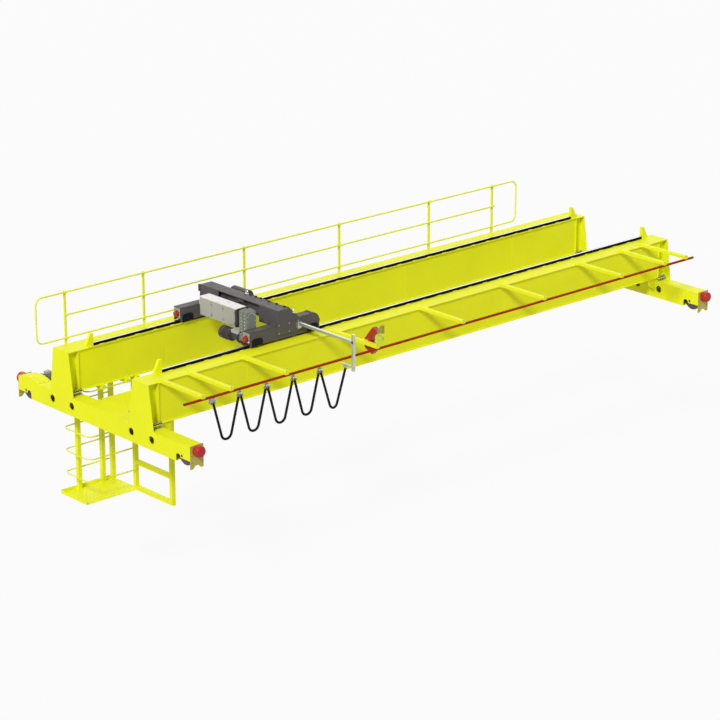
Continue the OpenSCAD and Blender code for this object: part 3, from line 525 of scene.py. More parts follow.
def girder_details():
    """Weld beads and plate joints of the girders, the rails' welds and worn bands, and the stops' feet."""
    beads, seams, toes, bands, feet = meshes(5)
    web_low, web_high = box_of("far_girder_webs")
    for sy in (-1, 1):
        for y, out in ((sy * web_low.y, -sy), (sy * web_high.y, sy)):
            for z in (web_low.z + 0.002, web_high.z - 0.002):
                add_weld(beads, (web_low.x, y + out * 0.001, z), (web_high.x, y + out * 0.001, z), 0.006)
            for x in WEB_JOINTS:
                add_weld(seams, (x, y, web_low.z), (x, y, web_high.z), 0.0045)
        for x in (WEB_JOINTS[0], WEB_JOINTS[-1]):
            add_weld(seams, (x, sy * FAR_LOW.y, GIRDER_TOP), (x, sy * FAR_HIGH.y, GIRDER_TOP), 0.003)
        for side in (-1, 1):
            y = sy * RAIL_Y + side * (RAIL_W / 2 + 0.002)
            for k in range(int((RAIL_HIGH.x - RAIL_LOW.x) / RAIL_WELD_PITCH)):
                x = RAIL_LOW.x + 0.15 + k * RAIL_WELD_PITCH
                add_weld(toes, (x, y, GIRDER_TOP + 0.002), (x + RAIL_WELD, y, GIRDER_TOP + 0.002), 0.007)
        add_box(bands, (RAIL_LOW.x + 0.004, sy * RAIL_Y - RAIL_W / 2 + 0.006, RAIL_HIGH.z - 0.004),
                (RAIL_HIGH.x - 0.004, sy * RAIL_Y + RAIL_W / 2 - 0.006, RAIL_HIGH.z + 0.0002))
    for sx, face in ((-1, RAIL_LOW.x), (1, RAIL_HIGH.x)):
        for sy, side in MIRRORED:
            add_box(feet, (face + sx * 0.02, sy * RAIL_Y + side * 0.035, GIRDER_TOP),
                    (face + sx * 0.16, sy * RAIL_Y + side * 0.075, GIRDER_TOP + 0.012), 0.002)
    make_object("girder_weld_beads", beads, crane_paint, smooth=True)
    make_object("girder_seams", seams, crane_paint, smooth=True)
    make_object("rail_welds", toes, crane_paint, smooth=True)
    make_object("rail_running_bands", bands, rail_top_steel)
    make_object("stop_feet", feet, crane_paint)


# ------------------------ handrail

TUBE_D = 0.034
COLLAR = [(0, 0.0175), (0.004, 0.0205), (0.064, 0.0205), (0.068, 0.0175)]


def handrail_details():
    """Foot plates, bolts, and the collars where the tubes cross the posts."""
    feet, bolts, collars = meshes(3)
    low, high = box_of("handrail_posts")
    bow_low, bow_high = box_of("handrail_end_bows")
    tube_z = [bow_low.z + TUBE_D / 2, bow_high.z - TUBE_D / 2]
    tube_z.insert(1, (tube_z[0] + tube_z[1]) / 2)
    for x in POST_X:
        add_box(feet, (x - 0.045, low.y + SKIN, low.z + 0.003), (x + 0.045, low.y + 0.006, GIRDER_TOP - 0.002), 0.0015)
        for z in (low.z + 0.02, GIRDER_TOP - 0.02):
            add_bolt(bolts, (x, high.y, z), (0, 1, 0), 0.011)
        for z in tube_z:
            add_turned(collars, (x - 0.034, low.y - TUBE_D / 2, z), (1, 0, 0), COLLAR, 20)
            add_bolt(bolts, (x, high.y, z), (0, 1, 0), 0.009)
        add_box(collars, (x - 0.021, low.y - 0.001, high.z - 0.001), (x + 0.021, high.y + 0.001, high.z + 0.004), 0.002)
    make_object("handrail_feet", feet, crane_paint)
    make_object("handrail_collars", collars, crane_paint)
    make_object("handrail_bolts", bolts, zinc)


# ------------------------ festoon

HALF_ARM = 0.050
HALF_HANGER, HANGER_T = 0.030, 0.006
ARM_FOOT_HALF, ARM_FOOT_T = 0.075, 0.008


def festoon_details():
    """Track hangers under the arms, the arms' feet and end plates, and the track's end caps."""
    low, high = box_of("festoon_track")
    arms_low, arms_high = box_of("festoon_arms")
    hangers, bolts, feet, ends = meshes(4)
    for x in ARM_X:
        for y0, y1, top in ((low.y - HANGER_T, low.y - SKIN, arms_high.z + 0.004),
                            (high.y + SKIN, high.y + HANGER_T, arms_low.z - SKIN)):
            add_box(hangers, (x - HALF_HANGER, y0, high.z - 0.013), (x + HALF_HANGER, y1, top), 0.0015)
        add_bolt(bolts, (x, (low.y + high.y) / 2, arms_high.z), UP, 0.012)
        for x0, x1 in ((x - ARM_FOOT_HALF, x - HALF_ARM - SKIN), (x + HALF_ARM + SKIN, x + ARM_FOOT_HALF)):
            add_box(feet, (x0, arms_high.y - 0.10, arms_low.z + SKIN),
                    (x1, arms_high.y - 0.005, arms_low.z + ARM_FOOT_T), 0.0015)
        add_weld(feet, (x - HALF_ARM, arms_high.y + 0.002, arms_low.z + 0.003),
                 (x + HALF_ARM, arms_high.y + 0.002, arms_low.z + 0.003), 0.006)
        add_box(feet, (x - HALF_ARM + 0.002, arms_low.y - 0.003, arms_low.z + 0.002),
                (x + HALF_ARM - 0.002, arms_low.y - SKIN, arms_high.z - 0.002), 0.001)
    for x, out in ((low.x, -1), (high.x, 1)):
        add_box(ends, (x, low.y - 0.002, low.z - 0.002), (x + out * 0.006, high.y + 0.002, high.z + 0.002), 0.0015)
    make_object("track_hangers", hangers, zinc)
    make_object("track_hanger_bolts", bolts, zinc)
    make_object("arm_feet", feet, crane_paint)
    make_object("track_end_caps", ends, dark_iron)


PAD_HALF = 0.054
LIP_LENGTH = 0.018
ROLLER = [(0, 0.013), (0.006, 0.013), (0.008, 0.011)]


def carrier_details(k):
    """Rubber pads beside the cable, clamp bolts and side rollers of a cable carrier, or of the fixed clamp."""
    low, high = box_of("cable_carrier_%d" % k if k else "festoon_end_clamp")
    body = "cable_carrier_%d" % k if k else "root"
    x, y = (low.x + high.x) / 2, (low.y + high.y) / 2
    pads, bolts = meshes(2)
    for side in (-1, 1):
        add_box(pads, (x - PAD_HALF, y + side * 0.0323, low.z + 0.003),
                (x + PAD_HALF, y + side * 0.0385, low.z + 0.028), 0.002)
        for end in (-1, 1):
            add_box(pads, (x + end * CABLE_OFF - LIP_LENGTH, y + side * 0.0325, low.z - 0.008),
                    (x + end * CABLE_OFF + LIP_LENGTH, y + side * 0.0383, low.z + 0.005), 0.0015)
        for dx in (-0.03, 0.03):
            add_bolt(bolts, (x + dx, y + side * 0.0383, low.z + 0.015), (0, side, 0), 0.008)
    make_object("carrier_%d_pads" % k, pads, black_rubber, body)
    if k:
        for side in (-1, 1):
            for dx in (-0.022, 0.022):
                add_turned(bolts, (x + dx, y + side * 0.0252, low.z + 0.062), (0, side, 0), ROLLER, 18)
    else:
        for dx in (-0.04, 0.04):
            add_bolt(bolts, (x + dx, low.y, high.z - 0.02), (0, -1, 0), 0.010)
    make_object("carrier_%d_bolts" % k, bolts, bright_zinc, body)


# ------------------------ trolley

FRAME_Y0, FRAME_Y1, FRAME_T, FRAME_END = 0.99, 1.21, 0.012, 0.91
FRAME_H, FRONT_H, STEP_X = 0.355, 0.288, -0.22
HOOD_R, HOOD_Z = 0.18, 0.19
HOOD_X = FRAME_END - HOOD_R
WHEEL_X, ARCH_HALF, ARCH_H, ARCH_R = 0.73, 0.125, 0.085, 0.05
BEARING_HALF, BEARING_H, BEARING_R, BEARING_T = 0.135, 0.145, 0.06, 0.016
BEARING_BOLTS = ((-0.104, 0.030), (-0.082, 0.110), (0.082, 0.110), (0.104, 0.030))
HUB = [(0, 0.052), (0.008, 0.052), (0.012, 0.046)]
NOSE_X = 0.916
BUFFER_Z = 0.155
COLLAR_DISC = [(0, 0.066), (0.008, 0.066), (0.010, 0.062)]
FRONT_WEB = ((1.222, 0.0), (1.222, 0.248), (0.64, 0.248), (0.64, -0.105), (0.988, -0.105), (0.988, 0.0))


def trolley_box(bm, low, high, bevel=0.0):
    """A box whose X is measured from the trolley's middle."""
    add_box(bm, (TX + low[0], low[1], low[2]), (TX + high[0], high[1], high[2]), bevel)


def cheek_outline():
    """Side frame's outline in X and Z: low front, step at the beam, round hood over the rear wheel."""
    corner = arc(0, QUARTER, 8)
    outline = [(-FRAME_END, 0.0)]
    for x in (-WHEEL_X, WHEEL_X):
        outline += [(x - ARCH_HALF, 0.0)]
        outline += [(x - ARCH_HALF + ARCH_R * (1 - math.cos(a)), ARCH_H - ARCH_R * (1 - math.sin(a))) for a in corner]
        outline += [(x + ARCH_HALF - ARCH_R * (1 - math.sin(a)), ARCH_H - ARCH_R * (1 - math.cos(a))) for a in corner]
        outline += [(x + ARCH_HALF, 0.0)]
    outline += [(FRAME_END, 0.0)]
    outline += [(HOOD_X + HOOD_R * math.cos(a), HOOD_Z + HOOD_R * math.sin(a)) for a in arc(0, QUARTER, 16)]
    return outline + [(HOOD_X - 0.02, FRAME_H), (STEP_X, FRAME_H), (STEP_X, FRONT_H), (-FRAME_END, FRONT_H)]


def side_frames():
    """Box frames on the rail wheels: two cheeks, a skin over them, nose plates and a riser at the step."""
    bm = bmesh.new()
    hood = [(TX + HOOD_X + r * math.cos(a), FRAME_FOOT + HOOD_Z + r * math.sin(a))
            for r, order in ((HOOD_R, 1), (HOOD_R - FRAME_T, -1)) for a in arc(0, QUARTER, 16)[::order]]
    skins = ((-FRAME_END, -FRAME_END + FRAME_T, 0.058, FRONT_H - FRAME_T),
             (FRAME_END - FRAME_T, FRAME_END, 0.058, HOOD_Z),
             (STEP_X, STEP_X + FRAME_T, FRONT_H - FRAME_T, FRAME_H - FRAME_T),
             (-FRAME_END, STEP_X, FRONT_H - FRAME_T, FRONT_H),
             (STEP_X, HOOD_X, FRAME_H - FRAME_T, FRAME_H))
    for side in (-1, 1):
        inner, outer = sorted((side * FRAME_Y0, side * FRAME_Y1))
        for low, high in ((inner, inner + FRAME_T), (outer - FRAME_T, outer)):
            add_prism(bm, [(TX + x, FRAME_FOOT + z) for x, z in cheek_outline()], "y", low, high)
        add_prism(bm, hood, "y", inner + 0.001, outer - 0.001)
        for x0, x1, z0, z1 in skins:
            trolley_box(bm, (x0, inner + 0.001, FRAME_FOOT + z0), (x1, outer - 0.001, FRAME_FOOT + z1))
    frames = make_object("side_frames", bm, trolley_paint, "trolley")
    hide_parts("trolley_side_frames")


def trolley_frame_details():
    """Bearing blocks round the wheels, in black as painted shade for the wheel arches' shaded openings, nose plates,
    buffer collars and the beam's deep front webs.
    """
    caps, cap_bolts, nose, nose_bolts, web, trims = meshes(6)
    foot = FRAME_FOOT + 0.004
    for sx, sy in MIRRORED:
        x, face = TX + sx * WHEEL_X, sy * FRAME_Y1
        block = [(x - BEARING_HALF, foot), (x + BEARING_HALF, foot)]
        for end in (1, -1):
            block += [(x + end * (BEARING_HALF - BEARING_R + BEARING_R * math.cos(a)),
                       foot + BEARING_H - BEARING_R + BEARING_R * math.sin(a)) for a in arc(0, QUARTER, 8)[::end]]
        for y, out in ((face, sy), (sy * FRAME_Y0, -sy)):
            low_y, high_y = sorted((y + out * SKIN, y + out * BEARING_T))
            add_prism(caps, block, "y", low_y, high_y)
            add_turned(caps, (x, y + out * BEARING_T, foot + BEARING_H / 2), (0, out, 0), HUB, 36)
        for dx, dz in BEARING_BOLTS:
            add_bolt(cap_bolts, (x + dx, face + sy * BEARING_T, foot + dz), (0, sy, 0), 0.009)
    for sy in (-1, 1):
        y0, y1 = sorted((sy * (FRAME_Y0 + FRAME_T), sy * (FRAME_Y1 - FRAME_T)))
        trolley_box(nose, (-NOSE_X, y0, FRAME_FOOT + 0.075), (-0.9105, y1, FRAME_FOOT + FRONT_H - FRAME_T), 0.001)
        for z in (0.10, 0.255):
            for y in (y0 + 0.02, y1 - 0.02):
                add_bolt(nose_bolts, (TX - NOSE_X, y, FRAME_FOOT + z), (-1, 0, 0), 0.010)
        for x, out in ((TX - 0.9162, -1), (TX + 0.9102, 1)):
            add_turned(trims, (x, sy * RAIL_Y, FRAME_FOOT + BUFFER_Z), (out, 0, 0), COLLAR_DISC, 32)
        outline = [(sy * y, BEAM_HIGH.z - 0.252 + z) for y, z in FRONT_WEB]
        add_prism(web, outline, "x", TX - 0.198, TX - 0.1902)
    # The bearing blocks' black is painted shade, for the shaded openings of the wheel arches.
    make_object("bearing_blocks_painted_shade", caps, bearing_painted_shade_paint, "trolley")
    make_object("bearing_bolts", cap_bolts, dark_iron, "trolley")
    make_object("nose_plates", nose, nose_paint, "trolley")
    make_object("nose_bolts", nose_bolts, bright_zinc, "trolley")
    make_object("buffer_collars", trims, dark_iron, "trolley")
    make_object("deep_front_webs", web, web_paint, "trolley")


NUB_Y = (-0.05, -0.216, -0.366, -0.619, -0.865, -1.107)
NUB_HALF_X, NUB_HALF_Y, NUB_H = 0.018, 0.024, 0.026
EYE_R, EYE_ROD = 0.030, 0.012


def beam_details():
    """Nubs and lifting eyes on the cross beam, its long welds, the limit switch and the head plates' bolts."""
    top = BEAM_HIGH.z
    nubs, eyes, welds, block, heads = meshes(5)
    rear = BEAM_BACK_X - NUB_HALF_X
    for y in NUB_Y:
        add_box(nubs, (rear - NUB_HALF_X, y - NUB_HALF_Y, top), (rear + NUB_HALF_X, y + NUB_HALF_Y, top + NUB_H), 0.004)
    for x, y, z in ((rear - 0.004, 0.065, top), (BEAM_BACK_X + 0.10, -1.218, top - 0.115)):
        add_box(eyes, (x - 0.022, y - 0.045, z), (x + 0.022, y + 0.045, z + 0.012), 0.003)
        ring = [Vector((x, y + EYE_R * math.cos(a), z + 0.042 + EYE_R * math.sin(a))) for a in arc(0, TURN, 24)]
        add_tube(eyes, ring, EYE_ROD, 10)
    for x in (TX - 0.19, BEAM_BACK_X):
        add_weld(welds, (x, -1.20, top - 0.0125), (x, 1.20, top - 0.0125), 0.003)
    add_box(block, (TX - 0.205, 1.2245, top - 0.155), (TX - 0.150, 1.290, top - 0.015), 0.004)
    for z in (top - 0.125, top - 0.045):
        add_bolt(block, (TX - 0.205, 1.262, z), (-1, 0, 0), 0.012)
    for sy in (-1, 1):
        for z in (1.53, 1.70):
            for x in (-0.17, 0.10, 0.34):
                add_bolt(heads, (TX + x, sy * BEAM_HIGH.y, z), (0, sy, 0), 0.016)
    make_object("beam_nubs", nubs, dark_iron, "trolley")
    make_object("lifting_eyes", eyes, bright_zinc, "trolley", True)
    make_object("beam_welds", welds, trolley_paint, "trolley", True)
    make_object("limit_switch", block, motor_paint, "trolley")
    make_object("head_plate_bolts", heads, zinc, "trolley")


DOORS = 3
HINGE = [(0, 0.006), (0.04, 0.006)]
LOCK = [(0, 0.011), (0.004, 0.011), (0.008, 0.008)]
GLANDS, GLAND_PITCH = 7, 0.13
GLAND = [(0, 0.020), (0.016, 0.020), (0.018, 0.014), (0.034, 0.012)]


def cabinet_details():
    """Lid with its turned edge, paler than the cabinet as painted highlight on its top and front edge, doors with
    hinges and locks, dark end cover, cable glands and a conduit.
    """
    low, high = box_of("hoist_cabinet")
    lid, seams, cap, hardware, glands, conduit = meshes(6)
    # The lid and its turned edge take the paler paint: painted highlight on the cabinet's top and front edge.
    add_box(lid, (low.x - 0.010, low.y - 0.006, high.z + SKIN), (high.x - 0.001, high.y + 0.006, high.z + 0.012), 0.004)
    add_box(lid, (low.x - 0.010, low.y - 0.006, high.z - 0.014), (low.x - SKIN, high.y + 0.006, high.z + 0.004), 0.002)
    door_w = (high.y - low.y - 0.06) / DOORS
    front = low.x - 0.0035
    for k in range(DOORS):
        y0 = low.y + 0.055 + k * door_w
        add_box(seams, (front, y0 + 0.004, low.z + 0.018), (low.x - SKIN, y0 + door_w - 0.004, high.z - 0.022), 0.0015)
        for z in (low.z + 0.075, high.z - 0.085):
            add_turned(hardware, (low.x - 0.010, y0 + 0.004, z - 0.02), UP, HINGE, 12)
            add_turned(hardware, (front, y0 + door_w - 0.030, z), (-1, 0, 0), LOCK, 16)
    add_box(cap, (low.x - 0.004, low.y - 0.012, low.z - 0.003), (high.x - 0.002, low.y - SKIN, high.z - 0.004), 0.003)
    add_box(cap, (low.x - 0.0045, low.y - 0.012, low.z - 0.003), (low.x - SKIN, low.y + 0.045, high.z - 0.018), 0.001)
    for k in range(GLANDS):
        add_turned(glands, (low.x + 0.09, low.y + 0.16 + k * GLAND_PITCH, low.z), (0, 0, -1), GLAND, 12)
    add_box(conduit, (low.x + 0.01, high.y + SKIN, low.z + 0.20), (low.x + 0.06, high.y + 0.034, high.z - 0.05), 0.006)
    make_object("cabinet_conduit", conduit, conduit_paint, "trolley")
    make_object("cabinet_lid_painted_highlight", lid, cabinet_top_highlight_paint, "trolley")
    make_object("cabinet_doors", seams, cabinet_paint, "trolley")
    make_object("cabinet_end_cover", cap, motor_paint, "trolley")
    make_object("cabinet_hardware", hardware, zinc, "trolley")
    make_object("cabinet_glands", glands, black_rubber, "trolley")


CASE_X0, CASE_X1 = TX - 0.809, TX - 0.565
CASE_FOOT, CASE_TOP, CASE_R = 1.43, 2.09, 0.16
CASE_Y, CASE_FACE_Y = -0.874, -0.9903
COVER_R = 0.09
CASE_BOLT = [(0, 0.012), (0.005, 0.012), (0.007, 0.009)]
BREATHER = [(0, 0.022), (0.012, 0.022), (0.014, 0.016), (0.03, 0.016), (0.032, 0.021), (0.05, 0.019), (0.056, 0.012)]
OIL_GLASS = [(0, 0.016), (0.006, 0.016), (0.008, 0.011), (0.016, 0.010)]


def case_outline(grow):
    """The gearbox case's outline in X and Z, grown by the given amount: a round top on straight sides."""
    mid_x, half, reach = (CASE_X0 + CASE_X1) / 2, (CASE_X1 - CASE_X0) / 2 + grow, CASE_R + grow
    start = math.acos(min(1.0, half / reach))
    foot = [(mid_x + side * half, CASE_FOOT - grow) for side in (-1, 1)]
    return foot + [(mid_x + reach * math.cos(a), CASE_TOP - CASE_R + reach * math.sin(a))
                   for a in arc(start, math.pi - start, 16)]


def gearbox_details():
    """Flange round the case, its bolts, the bolted cover on its face, breather and oil glass."""
    flange, bolts, fittings = meshes(3)
    mid_x = (CASE_X0 + CASE_X1) / 2
    add_prism(flange, case_outline(0.010), "y", CASE_Y - 0.011, CASE_Y + 0.011)
    for k in range(8):
        z = 1.50 + k * 0.068
        add_turned(bolts, (CASE_X0, CASE_Y - 0.055, z), (-1, 0, 0), CASE_BOLT, 12)
        add_bolt(bolts, (CASE_X0, CASE_Y + 0.055, z), (-1, 0, 0), 0.009)
    for k in range(9):
        a = math.radians(10 + 20 * k)
        at = (mid_x + COVER_R * math.cos(a), CASE_FACE_Y, CASE_TOP - CASE_R + COVER_R * math.sin(a))
        add_bolt(bolts, at, (0, -1, 0), 0.008)
    for z in (1.76, 1.84):
        for x in (CASE_X0 + 0.03, CASE_X1 - 0.03):
            add_bolt(bolts, (x, CASE_FACE_Y, z), (0, -1, 0), 0.008)
    add_turned(fittings, (mid_x, CASE_Y, 2.085), UP, BREATHER, 20)
    add_turned(fittings, (CASE_X0, -0.80, 1.60), (-1, 0, 0), OIL_GLASS, 16)
    make_object("gearbox_flange", flange, gear_paint, "trolley")
    make_object("gearbox_bolts", bolts, bright_zinc, "trolley")
    make_object("gearbox_fittings", fittings, dark_iron, "trolley")


MOTOR_X, MOTOR_Z = TX - 0.76, FRAME_FOOT + 0.06
FINS, FIN_HALF, FIN_R0, FIN_R1, FIN_Y = 28, 0.0022, 0.1195, 0.131, (-0.478, -0.322)
MOTOR_FLANGE = [(0, 0.130), (0.020, 0.130), (0.022, 0.122)]
FAN_COVER = [(0, 0.118), (0.006, 0.112), (0.008, 0.04)]
MOTOR_NECK = [(0.0005, 0.112), (0.020, 0.112), (0.026, 0.0790), (0.228, 0.0790), (0.234, 0.104), (0.252, 0.104)]


def motor_details():
    """Fins, terminal box, flange and fan cover of the travel motor, and its neck."""
    fins, box, flange, neck = meshes(4)
    at = Vector((MOTOR_X, 0, MOTOR_Z))
    for k in range(FINS):
        angle = TURN * k / FINS
        direction = Vector((math.cos(angle), 0, math.sin(angle)))
        side = Vector((-math.sin(angle), 0, math.cos(angle))) * FIN_HALF
        inner, outer = direction * FIN_R0, direction * FIN_R1
        corners = [at + inner - side, at + inner + side, at + outer + side, at + outer - side]
        near, far = [[fins.verts.new(c + Vector((0, y, 0))) for c in corners] for y in FIN_Y]
        for j in range(4):
            fins.faces.new((near[j], near[(j + 1) % 4], far[(j + 1) % 4], far[j]))
        fins.faces.new(near)
        fins.faces.new(far)
    for half, y0, y1, z0, z1, bevel in ((0.070, -0.752, -0.515, 0.070, 0.128, 0.006),
                                        (0.074, -0.755, -0.511, 0.1283, 0.137, 0.003)):
        add_box(box, (MOTOR_X - half, y0, MOTOR_Z + z0), (MOTOR_X + half, y1, MOTOR_Z + z1), bevel)
    add_turned(flange, (MOTOR_X, -0.506, MOTOR_Z), (0, 1, 0), MOTOR_FLANGE, 40)
    add_turned(flange, (MOTOR_X, -0.1898, MOTOR_Z), (0, 1, 0), FAN_COVER, 40)
    add_turned(neck, (MOTOR_X, -0.758, MOTOR_Z), (0, 1, 0), MOTOR_NECK, 40)
    make_object("motor_fins", fins, motor_paint, "trolley")
    make_object("motor_terminal_box", box, box_paint, "trolley")
    make_object("motor_flanges", flange, motor_paint, "trolley")
    make_object("motor_neck", neck, motor_paint, "trolley")


DRUM_X, DRUM_Z = TX + 0.36, 1.69
GROOVES, GROOVE_PITCH, GROOVES_Y = 18, 1.0 / 18, -0.79 + 0.06
ROPE_TURN_R, ROPE_R = 0.174, 0.0085


def drum_details():
    """Rope in the drum's grooves and the bolts of its flange."""
    rope, bolts = meshes(2)
    for k in range(GROOVES):
        y = GROOVES_Y + (k + 0.5) * GROOVE_PITCH
        add_tube(rope, [Vector((DRUM_X + ROPE_TURN_R * math.cos(a), y, DRUM_Z + ROPE_TURN_R * math.sin(a)))
                        for a in arc(0, TURN, 48)], ROPE_R, 8)
    for a in arc(0, TURN, 8)[:-1]:
        add_bolt(bolts, (DRUM_X + 0.12 * math.cos(a), -0.7903, DRUM_Z + 0.12 * math.sin(a)), (0, -1, 0), 0.012)
    make_object("drum_rope_turns", rope, rope_steel, "trolley", True)
    make_object("drum_bolts", bolts, zinc, "trolley")


BLOCK_X, BLOCK_Z = TX + 0.0427, 1.13
SHEAVE_PIN = [(0, 0.034), (0.008, 0.034), (0.010, 0.028)]
HOOK_NUT = [(0, 0.048), (0.020, 0.048), (0.024, 0.042)]


def hook_block_details():
    """Bolts and sheave pin of the hook block, the hook's nut and its safety latch."""
    x, z = BLOCK_X, BLOCK_Z
    bolts, latch = meshes(2)
    for sy in (-1, 1):
        for dz in (0.13, -0.13):
            for dx in (-0.065, 0.065):
                add_bolt(bolts, (x + dx, sy * 0.118, z + dz), (0, sy, 0), 0.014)
        add_turned(bolts, (x, sy * 0.125, z), (0, sy, 0), SHEAVE_PIN)
    add_turned(latch, (x, 0, z - 0.240), (0, 0, -1), HOOK_NUT, 32)
    add_box(latch, (x - 0.060, -0.008, z - 0.345), (x - 0.052, 0.008, z - 0.262), 0.002)
    make_object("hook_block_bolts", bolts, zinc, "trolley")
    make_object("hook_latch", latch, zinc, "trolley")


TOW_X, TOW_Z, TOW_HALF = TX + 0.33, 1.65, 0.03
ROOT_T = 0.060


def tow_arm():
    """Square tube from a root bracket out past the track, with its upright, foot and last clamp."""
    low, high = box_of("tow_arm")
    arm, bolts = meshes(2)
    x, z, half, root_y, out_y = TOW_X, TOW_Z, TOW_HALF, -BEAM_HIGH.y, low.y
    add_box(arm, (x - 0.045, root_y - ROOT_T, z + half - 0.130), (x + 0.045, root_y - SKIN, z + half), 0.004)
    add_box(arm, (x - half, out_y + 0.0005, z - half), (x + half, root_y - 0.05, z + half - 0.0005), 0.005)
    add_box(arm, (x - half, out_y, low.z), (x + half, out_y + 0.060, high.z), 0.005)
    add_box(arm, (x - 0.020, -2.856, 1.110), (x + 0.020, -2.545, 1.150), 0.004)
    add_box(arm, (x - 0.035, -2.687, 1.070), (x + 0.035, -2.623, 1.111), 0.004)
    arm_object = make_object("tow_arm_tubes", arm, tow_steel, "trolley")
    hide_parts("tow_arm")
    for dx in (-0.028, 0.028):
        for bolt_z in (z - 0.080, z + 0.012):
            add_bolt(bolts, (x + dx, root_y - ROOT_T, bolt_z), (0, -1, 0), 0.008)
        add_bolt(bolts, (x + dx * 0.9, -2.687, 1.090), (0, -1, 0), 0.008)
    for bolt_z in (low.z + 0.080, z - 0.045, z + 0.045):
        add_bolt(bolts, (x, out_y, bolt_z), (0, -1, 0), 0.010)
    make_object("tow_bolts", bolts, zinc, "trolley")


# ------------------------ cage, landing and horn

POSTS_LOW, POSTS_HIGH = box_of("cage_posts")
HALF_POST = 0.0425
CAGE_X, MID_POST = -7.005, 1.0425
HOOPS, HOOP_PITCH, HOOP_R, BAR_T, BAR_H = 5, 0.485, 0.150, 0.006, 0.030


def cage_hoops():
    """Flat bar hoops with round corners, in place of the plain ones."""
    low, high = box_of("cage_hoops")
    x0, x1, y0, y1 = low.x + 0.060, high.x, low.y, high.y

    def left_rounded(grow):
        r = HOOP_R + grow
        corner = [(r * math.cos(a), r * math.sin(a)) for a in arc(0, QUARTER, 10)]
        lower = [(x0 + HOOP_R - c, y0 + HOOP_R - s) for s, c in corner]
        upper = [(x0 + HOOP_R - c, y1 - HOOP_R + s) for c, s in corner]
        return [(x1, y0 - grow)] + lower + upper + [(x1, y1 + grow)]

    outline = left_rounded(0.0) + left_rounded(-BAR_T)[::-1]
    bars, bolts = meshes(2)
    for k in range(HOOPS):
        z = high.z - BAR_H - k * HOOP_PITCH
        add_prism(bars, outline, "z", z, z + BAR_H)
        bolt_z = high.z - 0.015 - k * HOOP_PITCH
        for x in (POSTS_LOW.x + HALF_POST, CAGE_X + MID_POST, POSTS_HIGH.x - HALF_POST):
            add_bolt(bolts, (x, y0, bolt_z), (0, -1, 0), 0.010)
            add_bolt(bolts, (x, y1 - BAR_T, bolt_z), (0, 1, 0), 0.010)
    hoops = make_object("cage_hoop_bars", bars, crane_paint)
    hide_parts("cage_hoops")
    make_object("cage_hoop_bolts", bolts, zinc)


TREAD_LONG, TREAD_SHORT, TREAD_H = 0.016, 0.003, 0.0025
TREAD_PITCH_X, TREAD_PITCH_Y = 0.053, 0.062


def add_tread(bm, x0, y0, z, rows, columns):
    """Checker plate: short bars that lie along X and along Y by turns."""
    for row in range(rows):
        for column in range(columns):
            x, y = x0 + column * TREAD_PITCH_X, y0 + row * TREAD_PITCH_Y
            half = (TREAD_LONG, TREAD_SHORT) if (row + column) % 2 else (TREAD_SHORT, TREAD_LONG)
            add_box(bm, (x - half[0], y - half[1], z), (x + half[0], y + half[1], z + TREAD_H))


def platform_details():
    """The landing's wider part on the truck, its bolts, and checker plate on the landing and the cage's floor."""
    low, high = box_of("cage_platforms")
    tread, plate, bolts = meshes(3)
    add_box(plate, (low.x + 0.0005, -0.45, TRUCK_TOP - 0.05), (high.x, low.y - 0.0005, TRUCK_TOP), 0.002)
    add_tread(tread, -6.96, 1.16, POSTS_LOW.z, 13, 24)
    add_tread(tread, low.x + 0.035, -0.42, TRUCK_TOP, 15, 26)
    for x in (low.x + 0.06, high.x - 0.06):
        for y in (-0.40, 0.50):
            add_bolt(bolts, (x, y, TRUCK_TOP), UP, 0.014)
    make_object("landing_extension", plate, crane_paint)
    make_object("tread_pattern", tread, crane_paint)
    make_object("landing_bolts", bolts, zinc)


def drive_details():
    """Terminal boxes on the travel drives beside the trucks."""
    low, high = box_of("travel_drives")
    box = bmesh.new()
    for sx in (-1, 1):
        add_box(box, (sx * (high.x - 0.16), low.y + 0.05, high.z - 0.004),
                (sx * (high.x - 0.28), low.y + 0.14, high.z + 0.05), 0.004)
    make_object("drive_terminal_boxes", box, box_paint)


HORN_CASE = [(-2.298, 1.379), (-2.358, 1.230), (-2.557, 1.140), (-2.672, 1.262), (-2.510, 1.385),
             (-2.713, 1.660), (-2.575, 1.715)]
HORN_SHADE_PLATE = [(-2.700, 1.640), (-2.846, 1.640), (-2.846, 1.800), (-2.810, 1.808)]
BELL = [(-0.085, 0.052), (-0.020, 0.095), (0.010, 0.111), (0.014, 0.111), (0.012, 0.103),
        (0.002, 0.065), (0.000, 0.030), (0.010, 0.026), (0.014, 0.016)]


def horn_details():
    """Leaning red case behind the arm, bell mouth, an olive plate by the bell that is painted shade, and bracket; they
    replace the plain horn.
    """
    case, bell, hood, bracket = meshes(4)
    x = ARM_X[0] + 0.085
    add_prism(case, HORN_CASE, "x", x, x + 0.11)
    bmesh.ops.bevel(case, geom=list(case.edges), offset=0.006, segments=2, profile=0.5, affect="EDGES")
    horn = make_object("horn_case", case, horn_paint)
    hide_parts("warning_horn")
    add_turned(bell, Vector((x + 0.045, -2.733, GIRDER_TOP + 0.14)), (-1, 0, 0), BELL, 48)
    # This olive plate by the bell stands for the horn's shadow: painted shade.
    add_prism(hood, HORN_SHADE_PLATE, "x", x + 0.010, x + 0.080)
    add_box(bracket, (ARM_X[0] + 0.050, -2.46, GIRDER_TOP), (x + 0.005, -2.32, GIRDER_TOP + 0.06), 0.003)
    make_object("horn_bell", bell, bell_paint)
    make_object("horn_painted_shade_plate", hood, bell_shade_paint)
    make_object("horn_bracket", bracket, crane_paint)


for make in (truck_details, seat_details, girder_details, handrail_details, festoon_details, side_frames,
             trolley_frame_details, beam_details, cabinet_details, gearbox_details, motor_details, drum_details,
             hook_block_details, tow_arm, cage_hoops, platform_details, drive_details, horn_details):
    make()
for number in range(LOOPS):
    carrier_details(number)

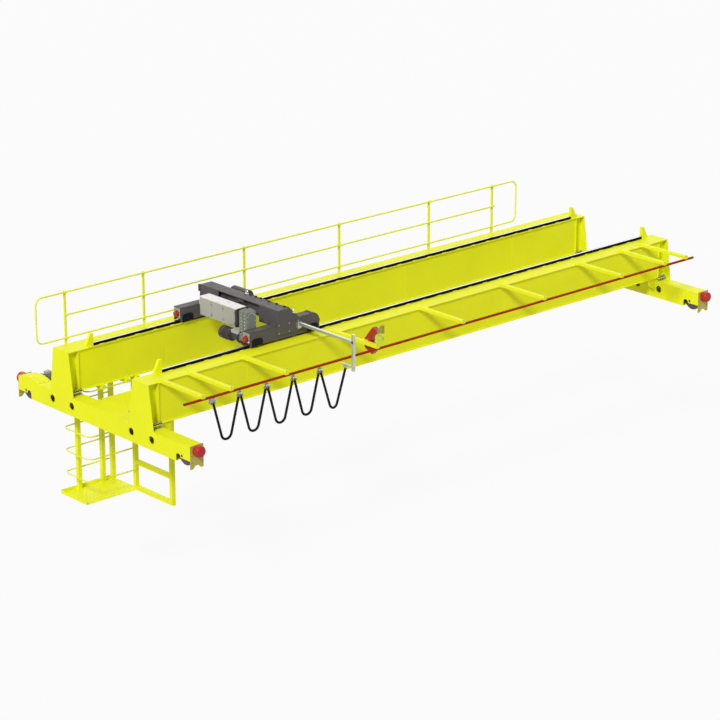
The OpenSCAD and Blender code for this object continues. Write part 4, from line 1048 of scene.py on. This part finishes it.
# ------------------------ floor, lamps and world

FLOOR_Z, FLOOR_R, FLOOR_WHITE = -4.5, 400.0, 0.92
KEY_LIGHT, FILL_LIGHT, WORLD_LIGHT = 2.32, 0.6, 0.56


def seen_rays(tree):
    """1 for rays from the camera, from gloss and through glass, and 0 for those that light something."""
    path = tree.nodes.new("ShaderNodeLightPath")
    seen = path.outputs["Is Camera Ray"]
    for other in ("Is Glossy Ray", "Is Transmission Ray"):
        seen = combine(tree, "MAXIMUM", seen, path.outputs[other])
    return seen


def make_floor():
    """A wide floor that is seen as nearly white, with a soft share of its shading."""
    mat, tree, shader = new_material("pale floor")
    shader.inputs["Base Color"].default_value = (0.5, 0.5, 0.5, 1)
    shader.inputs["Roughness"].default_value = 0.9
    share = spread(tree, seen_rays(tree), 0.0, 1.0, 0.0, FLOOR_WHITE)
    glow = tree.nodes.new("ShaderNodeEmission")
    glow.inputs["Color"].default_value = (1, 1, 1, 1)
    mix = tree.nodes.new("ShaderNodeMixShader")
    tree.links.new(share, mix.inputs["Fac"])
    tree.links.new(shader.outputs["BSDF"], mix.inputs[1])
    tree.links.new(glow.outputs["Emission"], mix.inputs[2])
    tree.links.new(mix.outputs["Shader"], tree.nodes["Material Output"].inputs["Surface"])
    bm = bmesh.new()
    bmesh.ops.create_circle(bm, cap_ends=True, radius=FLOOR_R, segments=64,
                            matrix=Matrix.Translation((0, 0, FLOOR_Z)))
    make_object("floor", bm, mat, None)


def make_sun(name, towards, strength, angle):
    """A sun whose light travels along towards; angle is its width in degrees."""
    data = bpy.data.lights.new(name, "SUN")
    data.energy = strength
    data.angle = math.radians(angle)
    lamp = bpy.data.objects.new(name, data)
    scene.collection.objects.link(lamp)
    lamp.rotation_euler = (-Vector(towards)).to_track_quat("Z", "Y").to_euler()


def make_world():
    """White to the eye and in gloss, dimmer where it lights the object."""
    world = bpy.data.worlds.new("world")
    world.use_nodes = True
    tree = world.node_tree
    backdrop = tree.nodes["Background"]
    backdrop.inputs["Color"].default_value = (1, 1, 1, 1)
    tree.links.new(spread(tree, seen_rays(tree), 0.0, 1.0, WORLD_LIGHT), backdrop.inputs["Strength"])
    scene.world = world


make_floor()
make_sun("key", (0.68, 0.38, -0.60), KEY_LIGHT, 10)
make_sun("fill", (-0.60, -0.50, -0.40), FILL_LIGHT, 60)
make_world()
scene.view_settings.view_transform = "Standard"
